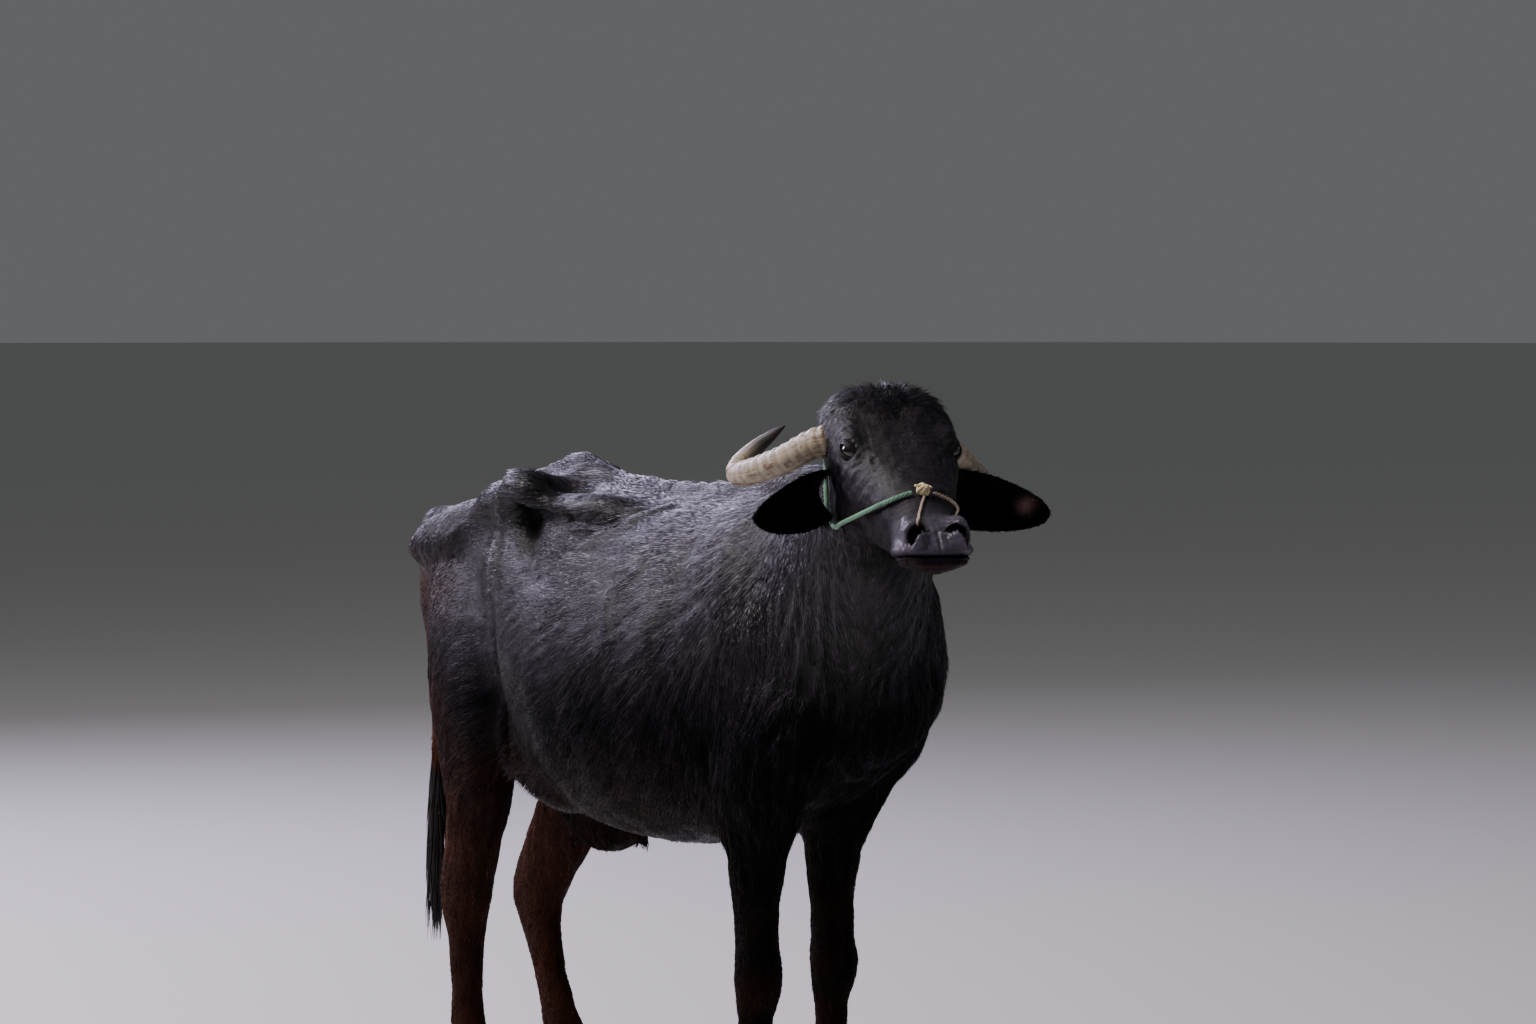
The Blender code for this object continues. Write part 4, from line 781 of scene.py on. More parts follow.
def head_fillers():
    """Plugs for the frame's nostrils, mouth and eye sockets, before finer ones are made."""
    meshes = []
    for sign in SIDES.values():
        meshes.append(ball("plug", head_point(0.247, 0.037 * sign, -0.135), HEAD_AXIS, HEAD_UP,
                           (0.042, 0.021, 0.026)))
        meshes.append(ball("lids", head_point(-0.001, EYE_SIDE * sign, 0.0), HEAD_AXIS, HEAD_UP,
                           (EYE_RADIUS + 0.0015,) * 3))
    meshes.append(ball("mouth", head_point(0.165, 0.0, -0.172), HEAD_FORWARD, UP,
                       (0.108, 0.052, 0.016)))
    return meshes


# Furrows of the face: forward, left and up of their places, then width and depth
FURROWS = [
    (((0.040, 0.075, 0.012), (0.052, 0.062, -0.012), (0.060, 0.058, -0.040)), 0.0045, 0.0030),
    (((0.015, 0.088, 0.034), (-0.010, 0.094, 0.036), (-0.035, 0.098, 0.026)), 0.0040, 0.0034),
    (((0.025, 0.080, 0.045), (-0.008, 0.086, 0.049), (-0.040, 0.092, 0.040)), 0.0045, 0.0026),
    (((0.030, 0.066, 0.058), (-0.004, 0.074, 0.064), (-0.034, 0.082, 0.058)), 0.0050, 0.0020),
    (((0.030, 0.086, -0.030), (0.004, 0.094, -0.036), (-0.026, 0.100, -0.026)), 0.0045, 0.0028),
    (((0.034, 0.082, -0.044), (0.004, 0.092, -0.052), (-0.030, 0.100, -0.042)), 0.0050, 0.0022),
    (((0.230, 0.060, -0.120), (0.205, 0.062, -0.130), (0.180, 0.062, -0.150)), 0.0050, 0.0022),
    (((0.150, 0.060, -0.176), (0.130, 0.066, -0.190), (0.112, 0.066, -0.208)), 0.0045, 0.0024),
    (((0.160, 0.056, -0.190), (0.140, 0.058, -0.202)), 0.0040, 0.0018),
]
# Swellings of the face: place, size along the head's axis, and height
FACE_FORMS = [
    ((0.060, 0.070, -0.070), (0.070, 0.020, 0.030), -0.0050),
    ((0.010, 0.085, -0.085), (0.075, 0.030, 0.016), 0.0040),
    ((0.000, 0.088, 0.030), (0.040, 0.025, 0.012), 0.0050),
    ((0.248, 0.050, -0.128), (0.030, 0.016, 0.020), 0.0030),
    ((0.215, 0.055, -0.160), (0.050, 0.024, 0.016), 0.0025),
    ((-0.060, 0.045, 0.060), (0.050, 0.030, 0.030), 0.0030),
    ((-0.020, 0.000, 0.040), (0.060, 0.022, 0.030), -0.0030),
    ((0.225, 0.072, -0.165), (0.055, 0.032, 0.034), 0.0065),
    ((0.262, 0.000, -0.150), (0.030, 0.040, 0.022), 0.0035),
]
def head_forms(points):
    """Height of the face's furrows, swellings, mouth and muzzle groove at each point."""
    forward, left, up = head_places(points)
    local = np.stack([forward, np.abs(left), up], axis=1)
    height = np.zeros(len(points))
    for path, width, depth in FURROWS:
        gap = near_path(local, path)
        height -= depth * np.exp(-(gap / width) ** 2)
        height += 0.35 * depth * np.exp(-((gap - 1.9 * width) / width) ** 2)
    for centre, sizes, rise in FACE_FORMS:
        height += rise * swell(local, centre, sizes, (0.914, 0.0, -0.407))
    # line of the mouth between two rolled lips, the upper one hanging over the lower
    front = smooth_step(forward, 0.09, 0.13)
    gap = up - mouth_height(forward)
    height -= 0.0060 * np.exp(-(gap / 0.0026) ** 2) * front
    height += 0.0028 * np.exp(-((gap - 0.010) / 0.006) ** 2) * front
    height -= 0.0040 * smooth_step(-gap, 0.002, 0.008) * smooth_step(forward, 0.15, 0.22)
    height += 0.0030 * np.exp(-((gap + 0.014) / 0.006) ** 2) * front
    for sign in SIDES.values():
        rim = nostril_measure(points, sign)
        height += 0.0018 * np.exp(-((rim - 1.35) / 0.28) ** 2)
    # groove down the middle of the upper lip
    split = np.exp(-(left / 0.0032) ** 2) * smooth_step(forward, 0.235, 0.262)
    height -= 0.0026 * split * smooth_step(up, -0.176, -0.160) * smooth_step(-0.112 - up, 0.0, 0.02)
    # the muzzle's cobbles, about 4 mm across
    cobble = smooth_step(forward, 0.205, 0.245) * smooth_step(up, -0.200, -0.172)
    height += 0.0004 * waves(points, 0.0045, 31, 24) * cobble
    crown = smooth_step(up, 0.02, 0.06)
    height += 0.0016 * waves(points, 0.028, 32) * crown
    height += 0.0007 * waves(points, 0.014, 33) + 0.0004 * waves(points, 0.007, 34)
    return height


def refine(mesh, centres, reach):
    """Splits the faces near some places once more."""
    shape = bmesh.new()
    shape.from_mesh(mesh)
    edges = [edge for edge in shape.edges
             if any(((edge.verts[0].co + edge.verts[1].co) / 2 - centre).length < reach
                    for centre in centres)]
    bmesh.ops.subdivide_edges(shape, edges=edges, cuts=1, use_grid_fill=True)
    shape.to_mesh(mesh)
    shape.free()
    mesh.update()


def make_head_hide(settings, body):
    """The skin of the head and ears, met to the body's skin behind them."""
    base = joined("head_base", [merged_copy(name, settings.overlap) for name in ("head", "neck")]
                  + head_fillers())
    remesh(base, settings.head_grid * 1.3)
    eased(base.data, 14)
    points, normals = read_points(base.data), read_normals(base.data)
    depth = coat_depth(points, settings) + settings.overlap
    write_points(base.data, points - normals * depth[:, None])
    cut_out(base, [nostril_cutter(sign) for sign in SIDES.values()])
    ears = [ear_mesh(name, settings.ear_thickness) for name in SIDES]
    head = joined("hide_head", [base.data.copy()] + ears)
    drop(base)
    remesh(head, settings.head_grid)
    eased(head.data, 3)
    muzzle = [head_point(0.24, 0.0, -0.14), head_point(0.20, 0.0, -0.17)]
    eyes = [head_point(0.0, EYE_SIDE * sign, 0.0) for sign in SIDES.values()]
    refine(head.data, muzzle, 0.075)
    refine(head.data, eyes, 0.045)
    eased(head.data, 2)
    points, normals = read_points(head.data), read_normals(head.data)
    forward, left, up = head_places(points)
    ear_free = smooth_step(0.135 - np.abs(left), 0.0, 0.03)
    points = points + normals * (head_forms(points) * ear_free)[:, None]
    # sink the skin under the eyelids
    for sign in SIDES.values():
        centre = np.array(head_point(0.0, EYE_SIDE * sign, 0.0))
        gap = points - centre
        size = np.linalg.norm(gap, axis=1)
        inside = smooth_step(EYE_RADIUS + 0.004 - size, 0.0, 0.0035)
        pushed = centre + gap * (0.55 * EYE_RADIUS / np.maximum(size, 1e-6))[:, None]
        look = np.array((HEAD_LEFT * sign + HEAD_FORWARD * 0.80).normalized())
        facing = smooth_step(gap @ look / np.maximum(size, 1e-6), 0.45, 0.75)
        points = points + (pushed - points) * (inside * facing)[:, None]
    # meet the body's skin at the cut
    tree = BVHTree.FromPolygons([vert.co[:] for vert in body.data.vertices],
                                [face.vertices[:] for face in body.data.polygons])
    cut = head_point(SKIN_CUT_BACK, 0.0, 0.0)
    ahead = (points - np.array(cut)) @ np.array(SKIN_CUT_LOOK)
    share = smooth_step(0.055 - ahead, 0.0, 0.045) * ear_free
    for index in np.nonzero(share > 0.0)[0]:
        near = tree.find_nearest(Vector(points[index]))[0]
        points[index] += (np.array(near) - points[index]) * share[index]
    write_points(head.data, points)
    close_at(head.data, cut, -SKIN_CUT_LOOK)
    return head


def keep_largest(mesh):
    """Leaves only the largest shell of a mesh."""
    shape = bmesh.new()
    shape.from_mesh(mesh)
    unseen = set(shape.verts)
    groups = []
    while unseen:
        stack = [unseen.pop()]
        group = set(stack)
        while stack:
            for edge in stack.pop().link_edges:
                for vert in edge.verts:
                    if vert in unseen:
                        unseen.remove(vert)
                        group.add(vert)
                        stack.append(vert)
        groups.append(group)
    groups.sort(key=len)
    loose = [vert for group in groups[:-1] for vert in group]
    bmesh.ops.delete(shape, geom=loose, context="VERTS")
    shape.to_mesh(mesh)
    shape.free()


def finish_piece(item, replaced=(), sharp=60.0):
    """Smooth faces, the body it rides on and the nodes it stands for."""
    item.data.shade_smooth()
    if sharp:
        item.data.set_sharp_from_angle(angle=math.radians(sharp))
    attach(item, "root")
    if replaced:
        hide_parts(*replaced)


class HideSettings(bpy.types.PropertyGroup):
    body_grid: FloatProperty(name="Body grid", description="Size of the squares of the body's skin",
                             default=0.0078, unit="LENGTH")
    fold_reach: FloatProperty(name="Fold reach", description="How far from a fold the squares are finer",
                              default=0.009, unit="LENGTH")
    head_grid: FloatProperty(name="Head grid", description="Size of the squares of the head's skin",
                             default=0.0034, unit="LENGTH")
    overlap: FloatProperty(name="Overlap", description="How far the frame's pieces grow to fuse",
                           default=0.0012, unit="LENGTH")
    coat_depth: FloatProperty(name="Coat depth", description="How deep the skin lies in the coat",
                              default=0.0040, unit="LENGTH")
    face_depth: FloatProperty(name="Face depth", description="How deep the skin lies on the face",
                              default=0.0012, unit="LENGTH")
    crown_depth: FloatProperty(name="Crown depth", description="Extra depth under the crown's hair",
                               default=0.0090, unit="LENGTH")
    ear_thickness: FloatProperty(name="Ear thickness", description="Thickness of the ear's leaf",
                                 default=0.0066, unit="LENGTH")
    black: FloatVectorProperty(name="Black", description="Darkest tone of the hide",
                               default=colour("#0c0a0b"), subtype="COLOR")
    # cool: the purple-grey painted on the upper sides as sheen, and the base of the face's lighter tone
    cool: FloatVectorProperty(name="Cool", description="Purple-grey tone of its sides",
                              default=colour("#201c23"), subtype="COLOR")
    brown: FloatVectorProperty(name="Brown", description="Faded brown of rump and legs",
                               default=colour("#341c12"), subtype="COLOR")
    slate: FloatVectorProperty(name="Slate", description="Bare skin of the muzzle",
                               default=colour("#4e4753"), subtype="COLOR")
    rose: FloatVectorProperty(name="Rose", description="Bare skin inside an ear",
                              default=colour("#7d5f5c"), subtype="COLOR")


class BUFFALO_OT_hide(bpy.types.Operator):
    """Makes the skin of the body, head and ears"""
    bl_idname = "buffalo.hide"
    bl_label = "Hide"

    def execute(self, context):
        settings = context.scene.buffalo_hide
        material = hide_material()
        body = make_body_hide(settings)
        head = make_head_hide(settings, body)
        cut = head_point(SKIN_CUT_BACK, 0.0, 0.0)
        close_at(body.data, cut, SKIN_CUT_LOOK, 0.010)
        for item in (body, head):
            keep_largest(item.data)
            item.data.materials.clear()
            item.data.materials.append(material)
            paint_hide(item.data, settings)
        finish_piece(body, ("torso", "neck", "udder", "tail") + LEGS)
        finish_piece(head, ("head", "ear_left", "ear_right"))
        return {"FINISHED"}


class LidSettings(bpy.types.PropertyGroup):
    half_width: FloatProperty(name="Half width", description="Half the length of the eye's opening",
                              default=0.0185, unit="LENGTH")
    upper: FloatProperty(name="Upper", description="Rise of the upper lid's edge",
                         default=0.0070, unit="LENGTH")
    lower: FloatProperty(name="Lower", description="Fall of the lower lid's edge",
                         default=0.0066, unit="LENGTH")
    outer_width: FloatProperty(name="Outer width", description="Half width of the lids' skin",
                               default=0.0330, unit="LENGTH")
    outer_height: FloatProperty(name="Outer height", description="Half height of the lids' skin",
                                default=0.0245, unit="LENGTH")


LID_STEPS = 56
LID_RINGS = 16


def lid_mesh(sign, settings, head):
    """Both lids of one eye, as one ring of skin from their edges to the socket's rim."""
    centre = head_point(0.0, EYE_SIDE * sign, 0.0)
    look = (HEAD_LEFT * sign + HEAD_FORWARD * 0.80).normalized()
    along = (HEAD_AXIS - look * HEAD_AXIS.dot(look)).normalized()
    up = (UP - look * UP.dot(look))
    up = (up - along * up.dot(along)).normalized()
    tree = BVHTree.FromPolygons([vert.co[:] for vert in head.data.vertices],
                                [face.vertices[:] for face in head.data.polygons])
    rings = [[] for _ in range(LID_RINGS + 3)]
    for step in range(LID_STEPS):
        turn = 2 * math.pi * step / LID_STEPS
        c, s = math.cos(turn), math.sin(turn)
        rise = settings.upper if s > 0 else settings.lower
        inner = (settings.half_width * c, rise * math.copysign(abs(s) ** 1.25, s) - 0.0012 * c)
        outer = (settings.outer_width * c, settings.outer_height * s + 0.002 * (s > 0))
        fold = 0.0016 if s > 0 else 0.0010
        for index in range(LID_RINGS):
            t = index / (LID_RINGS - 1)
            a = inner[0] + (outer[0] - inner[0]) * t
            b = inner[1] + (outer[1] - inner[1]) * t
            flat = centre + along * a + up * b
            thick = 0.0006 + 0.0034 * min(1.0, t / 0.16) ** 0.5
            reach = EYE_RADIUS + thick
            dome = flat + look * math.sqrt(max(reach * reach - a * a - b * b, 1e-6))
            hit = tree.ray_cast(flat + look * 0.07, -look)[0] or dome
            sunk = hit - look * (0.0030 * t - 0.0012)
            share = min(1.0, max(0.0, (t - 0.30) / 0.55))
            share = share * share * (3 - 2 * share)
            point = dome.lerp(sunk, share)
            point += look * (fold * math.sin(t * 17.0 + 0.7) * math.sin(math.pi * t))
            rings[index].append(point)
        rings[LID_RINGS].append(rings[LID_RINGS - 1][-1] - look * 0.006)
        rings[LID_RINGS + 1].append(centre + along * (inner[0] * 1.3) + up * (inner[1] * 1.5)
                                    + look * (EYE_RADIUS * 0.35))
        edge = rings[0][-1]
        rings[LID_RINGS + 2].append(edge - look * 0.0030 + (edge - centre).normalized() * 0.0002)
    return loft("lids", rings, closed=True)


# Eyeball: clear wet cornea over a near-black brown iris, mirror-smooth
def eye_material():
    material, tree, shader = new_material("eye_cornea", 0.05, 1.376, Coat_Weight=1.0,
                                          Coat_Roughness=0.02)
    ringed = add_node(tree, "ShaderNodeAttribute", attribute_name="gaze")
    ramp = add_node(tree, "ShaderNodeValToRGB", {"Fac": ringed.outputs["Fac"]})
    stops = ramp.color_ramp.elements
    stops[0].position, stops[0].color = 0.0, (*colour("#0a0707"), 1.0)
    stops[1].position, stops[1].color = 1.0, (*colour("#6b5a52"), 1.0)
    for at, code in ((0.30, "#0a0707"), (0.36, "#2a170e"), (0.52, "#1d100b"), (0.60, "#0b0706")):
        stop = stops.new(at)
        stop.color = (*colour(code), 1.0)
    tree.links.new(ramp.outputs["Color"], shader.inputs["Base Color"])
    return material


EYE_LOOK = 0.80            # how far an eye looks forward, against straight aside
PUPIL_STRETCH = 0.55       # a cow's pupil is wider than high


def eye_mesh(sign):
    """An eyeball with a raised cornea, its rings set round the way it looks."""
    centre = head_point(0.0, EYE_SIDE * sign, 0.0)
    look = (HEAD_LEFT * sign + HEAD_FORWARD * EYE_LOOK).normalized()
    side = look.cross(UP).normalized()
    up = side.cross(look)
    shape = bmesh.new()
    bmesh.ops.create_uvsphere(shape, u_segments=48, v_segments=32, radius=EYE_RADIUS - 0.0006)
    mesh = mesh_from_bmesh("eye", shape)
    points = read_points(mesh)
    size = np.linalg.norm(points, axis=1)
    off = np.arccos(np.clip(points[:, 2] / size, -1, 1))
    points *= (1.0 + 0.030 * np.exp(-(off / 0.42) ** 2))[:, None]
    turned = points @ np.array((side, up, look))
    write_points(mesh, turned + np.array(centre))
    wide = np.hypot(points[:, 0] * PUPIL_STRETCH * 1.3, points[:, 1] * 1.3) / EYE_RADIUS
    gaze = np.where(points[:, 2] > 0, np.maximum(wide, 0.0), 1.0)
    set_attribute(mesh, "gaze", "FLOAT", np.clip(gaze, 0.0, 1.0))
    return mesh


class BUFFALO_OT_eyes(bpy.types.Operator):
    """Makes the eyeballs and the lids round them"""
    bl_idname = "buffalo.eyes"
    bl_label = "Eyes"

    def execute(self, context):
        settings = context.scene.buffalo_lids
        head = bpy.data.objects["hide_head"]
        material = eye_material()
        for name, sign in SIDES.items():
            eye = new_object("eyeball_" + name, eye_mesh(sign), material)
            finish_piece(eye, ("eye_" + name,), 0)
            lids = new_object("eyelids_" + name, lid_mesh(sign, settings, head),
                              head.data.materials[0])
            paint_hide(lids.data, context.scene.buffalo_hide)
            finish_piece(lids)
        return {"FINISHED"}


HORN_PATH = [
    (-0.100, 0.085, 0.020, 0.0300), (-0.118, 0.125, 0.010, 0.0295),
    (-0.160, 0.172, -0.020, 0.0280), (-0.215, 0.213, -0.042, 0.0266),
    (-0.262, 0.230, -0.048, 0.0245), (-0.290, 0.220, -0.030, 0.0210),
    (-0.297, 0.190, -0.002, 0.0165), (-0.294, 0.160, 0.021, 0.0100),
    (-0.292, 0.140, 0.036, 0.0028),
]
HORN_SET = {"right": (0.0, 0.0, 0.0), "left": (-0.020, -0.014, -0.026)}


class HornSettings(bpy.types.PropertyGroup):
    rings: IntProperty(name="Rings", description="Cross sections along a horn", default=260)
    sides: IntProperty(name="Sides", description="Points round a horn", default=40)
    growth_rings: IntProperty(name="Growth rings", description="Ridges from the base to the bend",
                              default=17)
    ridge: FloatProperty(name="Ridge", description="Height of a growth ring", default=0.0010,
                         unit="LENGTH")
    cream: FloatVectorProperty(name="Cream", description="Main colour of the horn",
                               default=colour("#a3957e"), subtype="COLOR")
    crack: FloatVectorProperty(name="Crack", description="Colour of its cracks and dirt",
                               default=colour("#5b3f2d"), subtype="COLOR")
    tip: FloatVectorProperty(name="Tip", description="Colour of its tip", default=colour("#3a3638"),
                             subtype="COLOR")


# Horn: keratin sheath, weathered cream with brown cracks along its length and a dark tip
def horn_material(settings):
    material, tree, shader = new_material("horn_keratin", 0.42, 1.54)
    tone = add_node(tree, "ShaderNodeAttribute", attribute_name="horn_tone")
    spots = add_node(tree, "ShaderNodeTexCoord")
    run = add_node(tree, "ShaderNodeAttribute", attribute_name="horn_run")
    # fibres about 1 mm apart run from root to tip
    fibre = add_node(tree, "ShaderNodeTexNoise", {"Vector": run.outputs["Vector"], "Scale": 1.0,
                                                  "Detail": 4.0, "Roughness": 0.65})
    stain = add_node(tree, "ShaderNodeTexNoise", {"Vector": spots.outputs["Object"], "Scale": 46.0,
                                                  "Detail": 5.0, "Roughness": 0.7})
    streak = add_node(tree, "ShaderNodeMapRange", {"Value": fibre.outputs["Fac"], "From Min": 0.47,
                                                   "From Max": 0.57})
    patch = add_node(tree, "ShaderNodeMapRange", {"Value": stain.outputs["Fac"], "From Min": 0.44,
                                                  "From Max": 0.58})
    dirt = add_node(tree, "ShaderNodeMath", {0: streak.outputs["Result"],
                                             1: patch.outputs["Result"]}, operation="MULTIPLY")
    mixed = add_node(tree, "ShaderNodeMix", {"Factor": dirt.outputs["Value"],
                                             6: tone.outputs["Color"], 7: (*settings.crack, 1.0)},
                     data_type="RGBA")
    shade = add_node(tree, "ShaderNodeMapRange", {"Value": fibre.outputs["Fac"], "To Min": 0.72,
                                                  "To Max": 1.22})
    final = add_node(tree, "ShaderNodeVectorMath", {0: mixed.outputs[2],
                                                    "Scale": shade.outputs["Result"]},
                     operation="SCALE")
    tree.links.new(final.outputs["Vector"], shader.inputs["Base Color"])
    bump = add_node(tree, "ShaderNodeBump", {"Strength": 0.5, "Distance": 0.001,
                                             "Height": fibre.outputs["Fac"]})
    tree.links.new(bump.outputs["Normal"], shader.inputs["Normal"])
    return material


def horn_mesh(name, settings):
    """A horn with growth rings to its bend, then smooth to its tip."""
    sign = SIDES[name]
    forward, aside, up = HORN_SET[name]
    count = settings.rings
    rows = curve_points(HORN_PATH, count)
    path, radii = [], []
    for step, row in enumerate(rows):
        share = 0.4 + 0.6 * min(1.0, 2.0 * step / count)
        path.append(head_point(row[0] + forward * share, (row[1] + aside * share) * sign,
                               row[2] + up * share))
        radii.append(row[3])
    rings = tube_rings(path, radii, settings.sides)
    points, runs, tones = [], [], []
    length = 0.0
    draw = random.Random(11)
    offsets = [draw.uniform(-0.5, 0.5) for _ in range(settings.growth_rings + 2)]
    cream, crack, tip = (np.array(item) for item in (settings.cream, settings.crack, settings.tip))
    for step, row in enumerate(rings):
        t = step / (count - 1)
        if step:
            length += (path[step] - path[step - 1]).length
        ridged = settings.growth_rings * t / 0.62
        wave = math.sin(2 * math.pi * (ridged + 0.25 * offsets[min(int(ridged), settings.growth_rings)]))
        fade = max(0.0, 1.0 - (t / 0.66) ** 3)
        for index, point in enumerate(row):
            turn = 2 * math.pi * index / settings.sides
            out = (point - path[step]).normalized()
            # flatter on its front face, with a blunt edge above and below
            flat = 0.955 - 0.045 * math.cos(2 * turn + 0.5)
            rise = settings.ridge * (wave * fade * (0.6 + 0.4 * math.cos(turn)) - 0.6)
            uneven = 0.0006 * math.sin(7 * turn + 9 * t) * fade
            # old cracks run along the bend
            split = max(0.0, math.sin(4 * turn + 30 * t + 2.5 * math.sin(23 * t))) ** 5
            split *= math.exp(-((t - 0.50) / 0.11) ** 2)
            uneven -= 0.0012 * split
            points.append(path[step] + out * (radii[step] * flat + rise + uneven))
            runs.append((math.cos(turn) * 6.0, math.sin(turn) * 6.0, length * 26.0))
            dark = min(1.0, max(0.0, (t - 0.60) / 0.20))
            dark = dark * dark * (3 - 2 * dark)
            base = min(1.0, max(0.0, 1.0 - t / 0.10))
            groove = min(0.95, 0.35 * max(0.0, -wave) * fade + 1.2 * split)
            tones.append(cream * (1 - dark) * (1 - 0.35 * base) * (1 - groove) + tip * dark
                         + crack * (0.35 * base + 0.6 * groove) * (1 - dark))
    size = settings.sides
    mesh = loft("horn", [points[row * size:(row + 1) * size] for row in range(count)])
    runs += [runs[0], runs[-1]]
    tones += [tones[0], tones[-1]]
    set_attribute(mesh, "horn_run", "FLOAT_VECTOR", runs)
    set_attribute(mesh, "horn_tone", "FLOAT_COLOR", np.hstack([np.array(tones),
                                                             np.ones((len(tones), 1))]))
    return mesh


class BUFFALO_OT_horns(bpy.types.Operator):
    """Makes the two horns"""
    bl_idname = "buffalo.horns"
    bl_label = "Horns"

    def execute(self, context):
        settings = context.scene.buffalo_horns
        material = horn_material(settings)
        for name in SIDES:
            horn = new_object("horn_sheath_" + name, horn_mesh(name, settings), material)
            finish_piece(horn, ("horn_" + name,), 0)
        return {"FINISHED"}


class HoofSettings(bpy.types.PropertyGroup):
    claw_width: FloatProperty(name="Claw width", description="Width of one claw", default=0.052,
                              unit="LENGTH")
    height: FloatProperty(name="Height", description="Height of a claw inside the foot",
                          default=0.100, unit="LENGTH")
    lean: FloatProperty(name="Lean", description="How far the toe wall runs back for its height",
                        default=0.50)
    dark: FloatVectorProperty(name="Dark", description="Colour of the claws",
                              default=colour("#34302e"), subtype="COLOR")


# Hoof: hard dull horn with fine rings round it, worn pale and dusty at its edge
def hoof_material(settings):
    material, tree, shader = new_material("hoof_horn", 0.55, 1.54)
    spots = add_node(tree, "ShaderNodeTexCoord")
    across = add_node(tree, "ShaderNodeMapping", {"Vector": spots.outputs["Object"],
                                                  "Scale": (22.0, 22.0, 420.0)})
    rings = add_node(tree, "ShaderNodeTexNoise", {"Vector": across.outputs["Vector"], "Scale": 1.0,
                                                  "Detail": 3.0, "Roughness": 0.6})
    height = add_node(tree, "ShaderNodeSeparateXYZ", {"Vector": spots.outputs["Object"]})
    worn = add_node(tree, "ShaderNodeMapRange", {"Value": height.outputs["Z"], "From Min": 0.0,
                                                 "From Max": 0.030, "To Min": 1.0, "To Max": 0.0})
    dust = add_node(tree, "ShaderNodeMath", {0: worn.outputs["Result"], 1: rings.outputs["Fac"]},
                    operation="MULTIPLY")
    mixed = add_node(tree, "ShaderNodeMix", {"Factor": dust.outputs["Value"],
                                             6: (*settings.dark, 1.0),
                                             7: (*colour("#8a7b69"), 1.0)}, data_type="RGBA")
    tree.links.new(mixed.outputs[2], shader.inputs["Base Color"])
    bump = add_node(tree, "ShaderNodeBump", {"Strength": 0.5, "Distance": 0.0012,
                                             "Height": rings.outputs["Fac"]})
    tree.links.new(bump.outputs["Normal"], shader.inputs["Normal"])
    return material


CLAW_RINGS = 40
CLAW_POINTS = 44


def claw_mesh(heel, length, y, settings):
    """One claw with its growth rings: a flat sole, a leaning toe wall and a rounded heel."""
    rings = []
    for step in range(CLAW_RINGS + 1):
        t = step / CLAW_RINGS
        height = settings.height * t
        toe = heel + length - height * settings.lean
        back = heel + height * 0.12
        half = settings.claw_width / 2 * (1.0 - 0.10 * t) * (0.985 if step else 0.955)
        tuck = 0.004 * max(0.0, 1.0 - height / 0.006)
        if height > 0.060:
            shrink = 0.30 * (height - 0.060) / 0.040
            half *= 1.0 - 0.4 * shrink
            toe -= 0.030 * shrink
            back += 0.030 * shrink
        middle = Vector(((toe + back) / 2, y, height))
        reach = (toe - back) / 2 - tuck * 0.3
        wave = 1.0 + 0.010 * math.sin(height * 2 * math.pi / 0.0085) * min(1.0, height / 0.01)
        rings.append(ring(middle, Vector((0.0, 1.0, 0.0)), Vector((1.0, 0.0, 0.0)), half * wave,
                          reach * wave - 0.0008, reach - 0.0008, 0.80, CLAW_POINTS))
    return loft("claw", rings)


class BUFFALO_OT_hooves(bpy.types.Operator):
    """Makes the claws of the four feet"""
    bl_idname = "buffalo.hooves"
    bl_label = "Hooves"

    def execute(self, context):
        settings = context.scene.buffalo_hooves
        material = hoof_material(settings)
        for name in ("fore_left", "fore_right", "hind_left", "hind_right"):
            low, high = (Vector(corner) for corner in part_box("hoof_" + name))
            middle = (low.y + high.y) / 2
            aside = (high.y - low.y) / 2 - settings.claw_width / 2
            claws = [claw_mesh(low.x, high.x - low.x, middle + side * aside, settings)
                     for side in (-1, 1)]
            web = ball("web", Vector(((low.x + high.x) / 2 - 0.012, middle, 0.060)),
                       Vector((1.0, 0.0, 0.0)), UP, (0.036, 0.020, 0.022), 16)
            hoof = joined("claws_" + name, claws + [web])
            remesh(hoof, 0.0022)
            hoof.data.materials.append(material)
            finish_piece(hoof, ("hoof_" + name,), 50)
        return {"FINISHED"}


class RopeSettings(bpy.types.PropertyGroup):
    radius: FloatProperty(name="Rope radius", description="Radius of the green rope",
                          default=0.0044, unit="LENGTH")
    cord_radius: FloatProperty(name="Cord radius", description="Radius of the thin cord",
                               default=0.0030, unit="LENGTH")
    twist: FloatProperty(name="Twist", description="Length of one turn of the strands",
                         default=0.024, unit="LENGTH")
    green: FloatVectorProperty(name="Green", description="Colour of the rope",
                               default=colour("#6c9a7d"), subtype="COLOR")
    cream: FloatVectorProperty(name="Cream", description="Colour of the knotted twine",
                               default=colour("#e3cf9e"), subtype="COLOR")
    tan: FloatVectorProperty(name="Tan", description="Colour of the thin cord",
                             default=colour("#b59d86"), subtype="COLOR")


